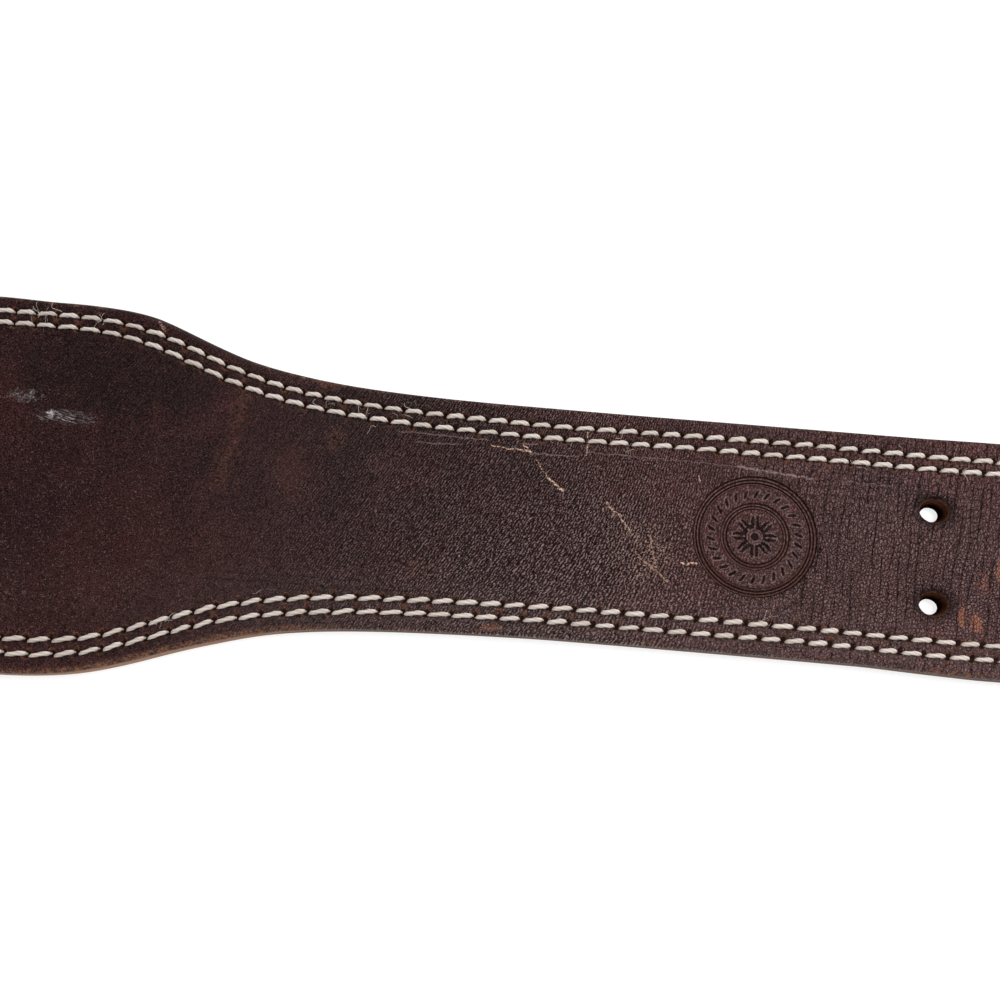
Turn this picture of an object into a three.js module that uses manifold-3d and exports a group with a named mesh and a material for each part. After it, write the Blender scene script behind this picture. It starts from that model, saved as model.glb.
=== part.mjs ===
import * as THREE from 'three';
import { mergeVertices } from 'three/addons/utils/BufferGeometryUtils.js';
import Module from 'manifold-3d';

// A tapered leather lifting belt, laid open and flat, face up, in millimetres with +Z up.
// Stations run along the belt, from 0 at the buckle fold to the tip of the tongue. +X points
// to the tip and +Y across the belt. The origin is on the underside, below the middle of the
// whole length.

const wasm = await Module();
wasm.setup();

// Leather body
const BELT_LENGTH = 1130;
const THICKNESS = 8;
const BACK_WIDTH = 104.1;
const END_WIDTH = 62.2;
const EDGE_ROUND = 1.6;
const EDGE_ROUND_SHARE = 0.4;
const EDGE_STEPS = 2;

// Broad back and the smooth fall of the width on each side of it
const BACK_CENTRE = 506;
const BACK_HALF_LENGTH = 161;
const TAPER_HALFWAY = 62.5;
const TAPER_SHARPNESS = 4.26;
const TAPER_LENGTH = 200;
const TAPER_STEPS = 24;

// Rounded tip of the tongue
const TIP_LENGTH = 38;
const TIP_FLAT = 0.1;
const TIP_STEPS = 9;

// Pairs of prong holes
const HOLE_FIRST = 925.4;
const HOLE_PITCH = 25.4;
const HOLE_PAIRS = 7;
const HOLE_SPACING = 25;
const HOLE_ROWS_OFFSET = -1.5;
const HOLE_LENGTH = 7.8;
const HOLE_WIDTH = 6.4;
const HOLE_RIM_WIDTH = 0.5;
const HOLE_RIM_DEPTH = 1.2;
const HOLE_SIDES = 16;

// Pressed rosette
const STAMP_STATION = 878.2;
const STAMP_DEPTH = 0.5;
const STAMP_BORDER = { radius: 14.7, wire: 0.9, sides: 32 };
const STAMP_INNER_RING = { radius: 10.9, wire: 0.6, sides: 28 };
const STAMP_WIRE_SIDES = 8;
const STAMP_PETALS = 8;
const PETAL_CENTRE = 6.3;
const PETAL_LENGTH = 6.2;
const PETAL_WIDTH = 3.1;
const HEART_DIAMETER = 4;
const DOT_SIDES = 8;
const DOT_RINGS = 6;

// Heel bar of the buckle and the fold of leather that holds it
const BAR_RADIUS = 3;
const BAR_GAP = 0.3;
const FOLD_LEG = 3.7;
const FOLD_RADIUS = BAR_RADIUS + BAR_GAP + FOLD_LEG;
const FOLD_STEPS = 7;
const FOLD_RAMP_END = 24;
const FOLD_RAMP_STEPS = 5;
const FOLD_THROAT_STATION = 20;
const FOLD_THROAT_HEIGHT = 4;
const SLOT_WIDTH = 8;
const SLOT_END = 18;
const BAR_SPACE_SIDES = 18;
const SLOT_SIDES = 8;

// Buckle frame and prongs
const FRAME_REACH = 36;
const FRAME_HALF_WIDTH = 38;
const FRAME_CORNER = 6;
const FRAME_CORNER_STEPS = 5;
const FLOOR_GAP = 0.1;
const PRONG_RADIUS = 2.5;
const PRONG_SEAT = 0.25;
const PRONG_OVERHANG = 5;
const PRONG_EYE_RADIUS = 5.4;
const PRONG_EYE_WIDTH = 5.4;
const PRONG_STEPS = 12;
const PRONG_SIDES = 10;
const BAR_SIDES = 14;

// How far a cutter runs past the faces that it cuts
const CUT_MARGIN = 1;

const BAR_STATION = FOLD_RADIUS;
const BAR_HEIGHT = FOLD_RADIUS;
const HOLE_ROWS = [HOLE_ROWS_OFFSET - HOLE_SPACING / 2, HOLE_ROWS_OFFSET + HOLE_SPACING / 2];
const PRONG_TIP = BAR_STATION - FRAME_REACH - PRONG_OVERHANG;
const ORIGIN_STATION = (BELT_LENGTH + PRONG_TIP) / 2;

// Solids and meshes

function solidOf(geometry) {
  const bare = geometry.clone();
  bare.deleteAttribute('normal');
  bare.deleteAttribute('uv');
  const merged = mergeVertices(bare, 1e-4);
  const vertProperties = new Float32Array(merged.attributes.position.array);
  const triVerts = new Uint32Array(merged.index.array);
  if (signedVolume(vertProperties, triVerts) < 0) {
    triVerts.reverse();
  }
  return new wasm.Manifold(new wasm.Mesh({ numProp: 3, vertProperties, triVerts }));
}

// Negative where the faces of a closed mesh look inwards
function signedVolume(positions, triangles) {
  const [a, b, c] = [new THREE.Vector3(), new THREE.Vector3(), new THREE.Vector3()];
  let volume = 0;
  for (let i = 0; i < triangles.length; i += 3) {
    a.fromArray(positions, 3 * triangles[i]);
    b.fromArray(positions, 3 * triangles[i + 1]);
    c.fromArray(positions, 3 * triangles[i + 2]);
    volume += a.dot(b.cross(c)) / 6;
  }
  return volume;
}

function meshOf(solid, name, material) {
  const { vertProperties, triVerts } = solid.getMesh();
  const geometry = new THREE.BufferGeometry();
  geometry.setAttribute('position', new THREE.BufferAttribute(new Float32Array(vertProperties), 3));
  geometry.setIndex(new THREE.BufferAttribute(new Uint32Array(triVerts), 1));
  geometry.computeVertexNormals();
  const mesh = new THREE.Mesh(geometry, material);
  mesh.name = name;
  return mesh;
}

// Skins a row of rings with equal numbers of points. An endless row joins its last ring
// to its first, and any other row gets a flat cap at each end.
function loft(rings, endless = false) {
  const count = rings[0].length;
  const triangles = [];
  const spans = endless ? rings.length : rings.length - 1;
  for (let i = 0; i < spans; i += 1) {
    const here = i * count;
    const next = ((i + 1) % rings.length) * count;
    for (let j = 0; j < count; j += 1) {
      const k = (j + 1) % count;
      triangles.push(here + j, here + k, next + j);
      triangles.push(here + k, next + k, next + j);
    }
  }
  if (!endless) {
    const last = spans * count;
    for (let j = 1; j < count - 1; j += 1) {
      triangles.push(0, j + 1, j);
      triangles.push(last, last + j, last + j + 1);
    }
  }
  const geometry = new THREE.BufferGeometry().setFromPoints(rings.flat());
  geometry.setIndex(triangles);
  return geometry;
}

// Leather body

function halfWidth(station) {
  const pastBack = Math.max(0, Math.abs(station - BACK_CENTRE) - BACK_HALF_LENGTH);
  const fall = (pastBack / TAPER_HALFWAY) ** TAPER_SHARPNESS;
  const plain = (END_WIDTH + (BACK_WIDTH - END_WIDTH) / (1 + fall)) / 2;
  const intoTip = Math.max(0, station - BELT_LENGTH + TIP_LENGTH) / (TIP_LENGTH + TIP_FLAT);
  return plain * Math.sqrt(Math.max(0, 1 - intoTip ** 2));
}

function topHeight(station) {
  if (station < FOLD_RADIUS) {
    return BAR_HEIGHT + Math.sqrt(FOLD_RADIUS ** 2 - (FOLD_RADIUS - station) ** 2);
  }
  const along = Math.min(1, (station - FOLD_RADIUS) / (FOLD_RAMP_END - FOLD_RADIUS));
  const bulge = 2 * FOLD_RADIUS - THICKNESS;
  return THICKNESS + bulge * (0.5 + 0.5 * Math.cos(Math.PI * along));
}

function bottomHeight(station) {
  return station < FOLD_RADIUS ? 2 * BAR_HEIGHT - topHeight(station) : 0;
}

function bodyStations() {
  const stations = [];
  for (let i = 1; i <= FOLD_STEPS; i += 1) {
    stations.push(FOLD_RADIUS * (1 - Math.cos((i / FOLD_STEPS) * (Math.PI / 2))));
  }
  for (let i = 1; i <= FOLD_RAMP_STEPS; i += 1) {
    stations.push(FOLD_RADIUS + ((FOLD_RAMP_END - FOLD_RADIUS) * i) / FOLD_RAMP_STEPS);
  }
  for (let i = TAPER_STEPS; i >= 0; i -= 1) {
    stations.push(BACK_CENTRE - BACK_HALF_LENGTH - (TAPER_LENGTH * i) / TAPER_STEPS);
  }
  for (let i = 0; i <= TAPER_STEPS; i += 1) {
    stations.push(BACK_CENTRE + BACK_HALF_LENGTH + (TAPER_LENGTH * i) / TAPER_STEPS);
  }
  for (let i = 0; i <= TIP_STEPS; i += 1) {
    stations.push(BELT_LENGTH - TIP_LENGTH * (1 - Math.sin((i / TIP_STEPS) * (Math.PI / 2))));
  }
  return stations;
}

// A rectangle across the belt with rounded corners, as one ring of points
function bodySection(station) {
  const half = halfWidth(station);
  const top = topHeight(station);
  const bottom = bottomHeight(station);
  const round = Math.min(EDGE_ROUND, EDGE_ROUND_SHARE * half, EDGE_ROUND_SHARE * (top - bottom));
  const corners = [
    { y: half - round, z: top - round, start: 0 },
    { y: round - half, z: top - round, start: 1 },
    { y: round - half, z: bottom + round, start: 2 },
    { y: half - round, z: bottom + round, start: 3 },
  ];
  const ring = [];
  for (const corner of corners) {
    for (let i = 0; i <= EDGE_STEPS; i += 1) {
      const angle = (corner.start + i / EDGE_STEPS) * (Math.PI / 2);
      const y = corner.y + round * Math.cos(angle);
      const z = corner.z + round * Math.sin(angle);
      ring.push(new THREE.Vector3(station, y, z));
    }
  }
  return ring;
}

// One prong hole: a slightly long bore whose rim opens at both faces
function holeCutter(station, y) {
  const bore = HOLE_WIDTH / 2;
  const mouth = bore + HOLE_RIM_WIDTH;
  const profile = [
    new THREE.Vector2(0, -CUT_MARGIN),
    new THREE.Vector2(mouth, -CUT_MARGIN),
    new THREE.Vector2(mouth, 0),
    new THREE.Vector2(bore, HOLE_RIM_DEPTH),
    new THREE.Vector2(bore, THICKNESS - HOLE_RIM_DEPTH),
    new THREE.Vector2(mouth, THICKNESS),
    new THREE.Vector2(mouth, THICKNESS + CUT_MARGIN),
    new THREE.Vector2(0, THICKNESS + CUT_MARGIN),
  ];
  const cutter = new THREE.LatheGeometry(profile, HOLE_SIDES);
  cutter.rotateX(Math.PI / 2);
  cutter.scale(HOLE_LENGTH / HOLE_WIDTH, 1, 1);
  cutter.translate(station, y, 0);
  return solidOf(cutter);
}

// Space in the fold around the heel bar, narrowing to where the two legs meet
function barSpaceCutter() {
  const radius = BAR_RADIUS + BAR_GAP;
  const reach = Math.hypot(FOLD_THROAT_STATION - BAR_STATION, BAR_HEIGHT - FOLD_THROAT_HEIGHT);
  const heading = Math.atan2(FOLD_THROAT_HEIGHT - BAR_HEIGHT, FOLD_THROAT_STATION - BAR_STATION);
  const spread = Math.acos(radius / reach);
  const outline = new THREE.Shape();
  outline.absarc(BAR_STATION, BAR_HEIGHT, radius, heading + spread, heading - spread + 2 * Math.PI);
  outline.lineTo(FOLD_THROAT_STATION, FOLD_THROAT_HEIGHT);
  outline.closePath();
  const length = END_WIDTH + 2 * CUT_MARGIN;
  const cutter = new THREE.ExtrudeGeometry(outline, {
    depth: length,
    curveSegments: BAR_SPACE_SIDES,
    bevelEnabled: false,
  });
  cutter.rotateX(Math.PI / 2);
  cutter.translate(0, length / 2, 0);
  return solidOf(cutter);
}

// Slot through both legs of the fold, where a prong comes out
function slotCutter(y) {
  const half = SLOT_WIDTH / 2;
  const outline = new THREE.Shape();
  outline.absarc(SLOT_END - half, 0, half, -Math.PI / 2, Math.PI / 2);
  outline.lineTo(-CUT_MARGIN, half);
  outline.lineTo(-CUT_MARGIN, -half);
  outline.closePath();
  const cutter = new THREE.ExtrudeGeometry(outline, {
    depth: 2 * (FOLD_RADIUS + CUT_MARGIN),
    curveSegments: SLOT_SIDES,
    bevelEnabled: false,
  });
  cutter.translate(0, y, -CUT_MARGIN);
  return solidOf(cutter);
}

// Rosette pressed into the face: two round borders, a ring of petals and a round heart
function stampCutters() {
  const shapes = [];
  for (const { radius, wire, sides } of [STAMP_BORDER, STAMP_INNER_RING]) {
    const ring = new THREE.TorusGeometry(radius, wire, STAMP_WIRE_SIDES, sides);
    ring.translate(0, 0, wire - STAMP_DEPTH);
    shapes.push(ring);
  }
  const heart = new THREE.SphereGeometry(1, DOT_SIDES, DOT_RINGS);
  heart.scale(HEART_DIAMETER / 2, HEART_DIAMETER / 2, STAMP_DEPTH);
  shapes.push(heart);
  for (let i = 0; i < STAMP_PETALS; i += 1) {
    const petal = new THREE.SphereGeometry(1, DOT_SIDES, DOT_RINGS);
    petal.scale(PETAL_LENGTH / 2, PETAL_WIDTH / 2, STAMP_DEPTH);
    petal.translate(PETAL_CENTRE, 0, 0);
    petal.rotateZ((i * 2 * Math.PI) / STAMP_PETALS);
    shapes.push(petal);
  }
  return shapes.map((shape) => {
    shape.translate(STAMP_STATION, 0, THICKNESS);
    return solidOf(shape);
  });
}

function leatherBody() {
  const cutters = [barSpaceCutter(), ...HOLE_ROWS.map(slotCutter), ...stampCutters()];
  for (let i = 0; i < HOLE_PAIRS; i += 1) {
    for (const y of HOLE_ROWS) {
      cutters.push(holeCutter(HOLE_FIRST + HOLE_PITCH * i, y));
    }
  }
  let body = solidOf(loft(bodyStations().map(bodySection)));
  for (const cutter of cutters) {
    body = body.subtract(cutter);
  }
  return body;
}

// Buckle

const FRAME_DROP = Math.asin((BAR_HEIGHT - BAR_RADIUS - FLOOR_GAP) / FRAME_REACH);

// A point of the frame, which leans down from the heel bar until its front bar is by the floor
function framePoint(reach, y, lift) {
  const station = BAR_STATION - reach * Math.cos(FRAME_DROP) - lift * Math.sin(FRAME_DROP);
  const height = BAR_HEIGHT - reach * Math.sin(FRAME_DROP) + lift * Math.cos(FRAME_DROP);
  return new THREE.Vector3(station, y, height);
}

// Round bar bent into an oblong loop
function frameLoop() {
  const corners = [
    { reach: FRAME_CORNER, y: FRAME_HALF_WIDTH - FRAME_CORNER, quarter: 1 },
    { reach: FRAME_CORNER, y: FRAME_CORNER - FRAME_HALF_WIDTH, quarter: 2 },
    { reach: FRAME_REACH - FRAME_CORNER, y: FRAME_CORNER - FRAME_HALF_WIDTH, quarter: 3 },
    { reach: FRAME_REACH - FRAME_CORNER, y: FRAME_HALF_WIDTH - FRAME_CORNER, quarter: 4 },
  ];
  const rings = [];
  for (const corner of corners) {
    for (let i = 0; i <= FRAME_CORNER_STEPS; i += 1) {
      const turn = (corner.quarter + i / FRAME_CORNER_STEPS) * (Math.PI / 2);
      const ring = [];
      for (let j = 0; j < BAR_SIDES; j += 1) {
        const around = (j / BAR_SIDES) * 2 * Math.PI;
        const out = FRAME_CORNER + BAR_RADIUS * Math.cos(around);
        const reach = corner.reach + out * Math.cos(turn);
        const y = corner.y + out * Math.sin(turn);
        ring.push(framePoint(reach, y, BAR_RADIUS * Math.sin(around)));
      }
      rings.push(ring);
    }
  }
  return loft(rings, true);
}

// Prong: an eye on the heel bar and a finger that lies on the front bar
function prongShapes(y) {
  const eye = new THREE.CylinderGeometry(PRONG_EYE_RADIUS, PRONG_EYE_RADIUS, PRONG_EYE_WIDTH, BAR_SIDES);
  eye.translate(BAR_STATION, y, BAR_HEIGHT);
  const onBar = BAR_RADIUS + PRONG_RADIUS - PRONG_SEAT;
  const end = framePoint(FRAME_REACH, y, onBar - PRONG_SEAT);
  end.x = PRONG_TIP + PRONG_RADIUS;
  const path = new THREE.CatmullRomCurve3([
    framePoint(0, y, PRONG_EYE_RADIUS - PRONG_RADIUS),
    framePoint(FRAME_REACH / 4, y, onBar - 4 * PRONG_SEAT),
    framePoint(FRAME_REACH / 2, y, onBar),
    framePoint(FRAME_REACH, y, onBar),
    end,
  ]);
  const section = new THREE.Shape();
  section.absarc(0, 0, PRONG_RADIUS, 0, 2 * Math.PI);
  const finger = new THREE.ExtrudeGeometry(section, {
    steps: PRONG_STEPS,
    curveSegments: PRONG_SIDES,
    extrudePath: path,
    bevelEnabled: false,
  });
  const tip = new THREE.SphereGeometry(PRONG_RADIUS, PRONG_SIDES, PRONG_SIDES);
  tip.translate(end.x, end.y, end.z);
  return [eye, finger, tip];
}

function buckleBody() {
  let body = solidOf(frameLoop());
  for (const y of HOLE_ROWS) {
    for (const shape of prongShapes(y)) {
      body = body.add(solidOf(shape));
    }
  }
  return body;
}

// Materials and scene graph

const leather = new THREE.MeshStandardMaterial({ color: 0x3a2620, roughness: 0.55, metalness: 0 });
const steel = new THREE.MeshStandardMaterial({ color: 0xb9bbbd, roughness: 0.3, metalness: 1 });

const belt = new THREE.Group();
belt.name = 'lifting_belt';
belt.add(meshOf(leatherBody(), 'belt_leather', leather));
belt.add(meshOf(buckleBody(), 'buckle', steel));
belt.position.x = -ORIGIN_STATION;

export default belt;
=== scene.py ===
"""Looks of a tapered leather lifting belt that lies open and flat, face up, on a pale floor.

Lengths in the shape code are millimetres and become metres where a mesh is made. Stations run
along the belt from 0 at the buckle fold to the tip of the tongue, and x is a station less
ORIGIN_STATION.
"""

import functools
import math

import bmesh
import bpy
import numpy as np
from bpy.props import FloatProperty, FloatVectorProperty, IntProperty, PointerProperty
from mathutils import Euler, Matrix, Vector
from mathutils.geometry import delaunay_2d_cdt


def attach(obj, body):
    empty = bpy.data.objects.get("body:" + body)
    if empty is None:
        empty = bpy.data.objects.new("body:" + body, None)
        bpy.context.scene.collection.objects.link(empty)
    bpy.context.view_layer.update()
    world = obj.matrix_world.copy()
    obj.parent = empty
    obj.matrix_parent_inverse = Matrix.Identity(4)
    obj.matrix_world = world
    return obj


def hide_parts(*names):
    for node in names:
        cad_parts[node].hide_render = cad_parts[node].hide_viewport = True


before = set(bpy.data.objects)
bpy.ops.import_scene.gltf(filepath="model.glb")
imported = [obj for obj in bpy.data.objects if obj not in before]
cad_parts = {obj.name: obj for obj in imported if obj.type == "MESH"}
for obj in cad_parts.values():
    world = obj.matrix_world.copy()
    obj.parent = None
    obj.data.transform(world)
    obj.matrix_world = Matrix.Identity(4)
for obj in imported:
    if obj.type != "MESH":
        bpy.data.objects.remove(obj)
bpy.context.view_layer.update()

bl_info = {
    "name": "Lifting Belt",
    "version": (1, 0, 0),
    "blender": (4, 5, 0),
    "location": "3D View > Sidebar > Belt",
    "description": "Builds a stitched leather lifting belt with a two prong buckle",
    "category": "Object",
}

MM = 0.001
ORIGIN_STATION = 548.0

# Width along the belt
BACK_CENTRE = 506.0
BACK_HALF_LENGTH = 161.0
TAPER_SHARPNESS = 4.26
TIP_LENGTH = 38.0

# Fold round the heel bar
FOLD_RADIUS = 7.0
FOLD_RAMP_END = 24.0
BAR_SPACE_RADIUS = 3.3
THROAT = (20.0, 4.0)
SLOT_HALF_WIDTH = 4.0
SLOT_END = 18.0
SLOT_START = -2.0

# Buckle frame: sides of its bar, its round corners, steps along it and its gap to the floor
BAR_SIDES = 20
FRAME_CORNER = 6.0
FRAME_CORNER_STEPS = 10
FRAME_STEP = 3
FLOOR_GAP = 0.1

# Prongs: degrees that they curl round the heel bar, half width and half height where one is a
# flat strip and where it is a round finger, and its way to the tip as reach, lift and size
PRONG_CURL_START = -62
PRONG_CURL_TURN = 214
PRONG_CURL_STEPS = 28
PRONG_SQUARENESS = 0.45
PRONG_STRIP = (2.6, 1.1)
PRONG_FINGER = (2.45, 2.3)
PRONG_TIP = ((39.4, 5.1, 0.86), (40.3, 5.0, 0.66), (40.9, 4.95, 0.4), (41.15, 4.93, 0.12))

# Stretch whose mesh is finest
FINE_FROM = 655.0
FINE_TO = 955.0

# Spacing of the outline's points on the nose of the fold, on its ramp and in the finest stretch
EDGE_SPACINGS = (0.2, 1.2, 0.9)

# Stitch rows beside the upper edge (1) and the lower edge (-1). Phase is how many stitches a row is
# past a centre at DRIFT_MIDDLE, drift how many its count runs ahead at every DRIFT_STEP from
# DRIFT_START, and stray how far it lies further in at STRAY_STATIONS.
DRIFT_START = 680.0
DRIFT_STEP = 30.0
DRIFT_MIDDLE = 800.0
STRAY_STATIONS = (600, 685, 720, 754, 789, 824, 859, 893, 928, 970, 1060)
STITCH_ROWS = {
    ("outer", 1): {
        "phase": 0.707,
        "drift": (0.07, -0.24, -0.58, -0.21, 0.01, 0.02, 0.11, 0.11, 0.08),
        "stray": (0, 0.04, -0.8, 0.37, 0.68, 0.89, 0.45, 0.35, 1.1, 0.9, 0),
    },
    ("inner", 1): {
        "phase": 0.136,
        "drift": (0.61, 0.31, 0.01, 0.06, -0.01, 0, 0.05, 0.04, 0.15),
        "stray": (0, -0.12, -0.68, 0.37, 0.68, 0.75, 0.25, 0.46, 0.95, 0.8, 0),
    },
    ("outer", -1): {
        "phase": 0.502,
        "drift": (0.17, -0.01, 0.12, 0.14, 0.03, 0.04, -0.04, 0.05, 0.18),
        "stray": (0, 0.2, -0.25, -0.43, -0.23, -0.06, -0.33, -0.27, -1.15, -0.9, 0),
    },
    ("inner", -1): {
        "phase": 0.397,
        "drift": (0.53, 0.19, 0.23, 0.21, 0.03, -0.04, -0.17, -0.36, -0.14),
        "stray": (0, 0.6, -0.16, -0.09, -0.26, -0.03, -0.04, -0.27, -0.95, -0.8, 0),
    },
}
ROWS_START = 31.0

# Height of the stitches over the face, and where those of the underside lie
STITCH_LIFT = 0.12
UNDER_STITCH_HEIGHT = 0.72

# How far the lower stitches lean from their row: station, degrees
LOWER_LEAN = ((743.0, 3.0), (780.0, 4.0), (817.0, 1.8), (854.0, -0.8), (890.0, -0.3), (927.0, -3.0))

# How far the upper and the lower cut edge stray outwards at EDGE_STATIONS
EDGE_STATIONS = (
    600, 668, 681, 696, 710, 724, 738, 752, 795,
    823, 880, 909, 923, 938, 965, 1010, 1060,
)
EDGE_STRAY = (
    (0, 0, -0.5, -0.2, 0.6, 0.15, -0.2, 0, -0.1, 0, 0, -0.1, -0.15, 0, 0, 0, 0),
    (0, 0.6, 0.45, 0.1, 0, 0.3, 0.7, 0.35, 0, -0.3, 0, 0.2, 0.8, 1.3, 1.2, 0.4, 0),
)

# Insets are measured up to this one
FAR_INSIDE = 16.0

# Radius that the pressed mark's pattern is drawn at, before it takes on the set size
MARK_DRAWN_RADIUS = 16.2
MARK_LEAVES = 26
MARK_PETALS = 8
MARK_GROUND_DEPTH = 0.25
MARK_LINE_DEPTH = 0.7

# Values that the leather's mesh hands to its material
PAINTED = ("inset", "dip", "rim", "mark", "skin", "groove_shade")

# Depths and heights of the leather's relief
SEAM_DEPTH = 0.22
STITCH_HOLE_DEPTH = 0.85
STITCH_RIM_HEIGHT = 0.13
PRONG_HOLE_ROUND = 0.9
PRONG_RIM_HEIGHT = 0.16
MARK_RIM_HEIGHT = 0.1
UNDER_SEAM_DEPTH = 1.0
UNDER_HOLE_ROUND = 0.7
ROUND_WIDTH = 0.33

# Insets of the lines of points that follow the outline, on the face and on the underside
FACE_LINES = (0.12, 0.45, 0.95, 1.6, 2.4, 3.2, 3.85, 4.55, 5.25, 6.3, 7.4, 8.1, 8.8, 9.8, 11.2)
UNDER_LINES = (0.15, 0.7, 1.6)
UNDER_SPARSE_LINES = (3.3, 3.9, 4.55, 5.2, 5.8, 6.9, 7.5, 8.1, 8.8, 9.4, 12.0)
LINES_END = 12.6

# Distances between the mesh's points: on the face, on the underside and across the fold's nose
FACE_SPACING = 2.0
UNDER_SPACING = 4.5
NOSE_SPACING = 2.2

# Where the lines of points begin, and the only stretch where they keep to the very edge
LINES_START = 0.1
NOSE_END = 7.2
NOSE_INSET = 2

# Rings of points round a stitch hole: radius, count, turn
STITCH_RINGS = ((0.45, 6, 0.0), (0.9, 8, 0.2), (1.4, 10, 0.0))
STITCH_CLEARING = 1.75
CROSS_STITCH_CLEARING = 1.9

# Rings of points in the pressed mark: first radius, step outwards and spacing along a ring
MARK_RINGS_START = 0.35
MARK_RINGS_STEP = 0.33
MARK_RINGS_SPACING = 0.42
MARK_RINGS_MARGIN = 1.3
MARK_CLEARING = 1.6

# How far rings of points lie outside a prong hole, and how many points each has
PRONG_HOLE_RINGS = (0.16, 0.4, 0.8, 1.4, 2.3)
PRONG_HOLE_POINTS = 32
PRONG_HOLE_CLEARING = 3.2

# Strips of faces in the wall of the cut edge and of a bore
EDGE_WALL_STRIPS = 5
BORE_WALL_STRIPS = 7

# Share of its width that a bore loses towards the flesh side, and how far the cut edge swells
BORE_NARROWING = 0.34
EDGE_SWELL = 0.12


# Loose fibres: clumps along the seams, spread of a clump, most fibres in one and their height
FIBRE_CLUMPS = 70
FIBRE_SPREAD = 1.5
FIBRES_MOST = 5
FIBRE_HEIGHT = 0.5

# Torn rims: station round which most holes are torn, width of that stretch, share of torn holes
# there, elsewhere in the lower rows and in the upper rows, and height of the rims
TORN_STATION = 715
TORN_WIDTH = 55
TORN_MOST = 0.75
TORN_LOWER = 0.35
TORN_UPPER = 0.15
TORN_HEIGHT = 0.02


# Geometry helpers


def smooth(value, low, high):
    """Rises smoothly from 0 at low to 1 at high."""
    t = np.clip((value - low) / (high - low), 0, 1)
    return t * t * (3 - 2 * t)


def bell(value, width):
    """Falls smoothly from 1 at 0 to nothing at about twice the width."""
    return np.exp(-((value / width) ** 2))


def soft_noise(x, y, cell, seed):
    """Smooth random heights from -1 to 1 whose bumps are about one cell wide."""
    grid = np.random.RandomState(seed).uniform(-1, 1, (512, 256))
    u, v = x / cell + 256, y / cell + 128
    i, j = np.floor(u).astype(int) % 511, np.floor(v).astype(int) % 255
    a, b = smooth(u % 1, 0, 1), smooth(v % 1, 0, 1)
    near = grid[i, j] * (1 - a) + grid[i + 1, j] * a
    far = grid[i, j + 1] * (1 - a) + grid[i + 1, j + 1] * a
    return near * (1 - b) + far * b


def nearest(points, centres, reach):
    """Offset from the nearest centre to each point, or a long one where none is within reach."""
    order = np.argsort(points[:, 0])
    sorted_x = points[order, 0]
    best = np.full(len(points), np.inf)
    offset = np.full((len(points), 2), 1e3)
    for centre in centres:
        low, high = np.searchsorted(sorted_x, (centre[0] - reach, centre[0] + reach))
        some = order[low:high]
        gap = points[some] - centre
        distance = np.hypot(gap[:, 0], gap[:, 1])
        closer = distance < best[some]
        some, gap, distance = some[closer], gap[closer], distance[closer]
        best[some], offset[some] = distance, gap
    return offset


def triangulate(points, loops):
    """Triangles between the loops, as positions, faces and where each given point went."""
    edges = []
    for loop in loops:
        edges += [(int(a), int(b)) for a, b in zip(loop, np.roll(loop, -1))]
    flat = [Vector((float(x), float(y))) for x, y in points]
    made, _, faces, given, _, _ = delaunay_2d_cdt(flat, edges, [], 1, 1e-5)
    went = np.full(len(points), -1)
    for number, sources in enumerate(given):
        for source in sources:
            went[source] = number
    places = np.array([tuple(p) for p in made])
    faces = np.array(faces)
    a, b, c = places[faces[:, 0]], places[faces[:, 1]], places[faces[:, 2]]
    turn = (b[:, 0] - a[:, 0]) * (c[:, 1] - a[:, 1]) - (b[:, 1] - a[:, 1]) * (c[:, 0] - a[:, 0])
    faces[turn < 0] = faces[turn < 0][:, ::-1]
    return places, faces, went


def linked(name, data):
    """New object in the scene."""
    thing = bpy.data.objects.new(name, data)
    bpy.context.collection.objects.link(thing)
    return thing


def evaluated_mesh(thing):
    """Plain mesh of an object with its modifiers, which are then taken off."""
    bpy.context.view_layer.update()
    graph = bpy.context.evaluated_depsgraph_get()
    mesh = bpy.data.meshes.new_from_object(thing.evaluated_get(graph), depsgraph=graph)
    thing.modifiers.clear()
    return mesh


def add_object(name, mesh, material):
    """Links a finished mesh as a piece that rides on the part's one body."""
    if not mesh.polygons:
        raise RuntimeError(f"{name} came out without any faces.")
    thing = linked(name, mesh)
    mesh.materials.clear()
    mesh.materials.append(material)
    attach(thing, "root")
    return thing


def mesh_of(name, points, faces, attributes=None, smooth_faces=True):
    """Mesh from points in millimetres."""
    mesh = bpy.data.meshes.new(name)
    mesh.from_pydata((np.asarray(points) * MM).tolist(), [], [list(map(int, f)) for f in faces])
    for label, values in (attributes or {}).items():
        layer = mesh.attributes.new(label, "FLOAT", "POINT")
        layer.data.foreach_set("value", np.asarray(values, dtype=np.float32))
    if smooth_faces:
        mesh.shade_smooth()
    mesh.validate()
    mesh.update()
    return mesh


# The belt's shape


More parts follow.
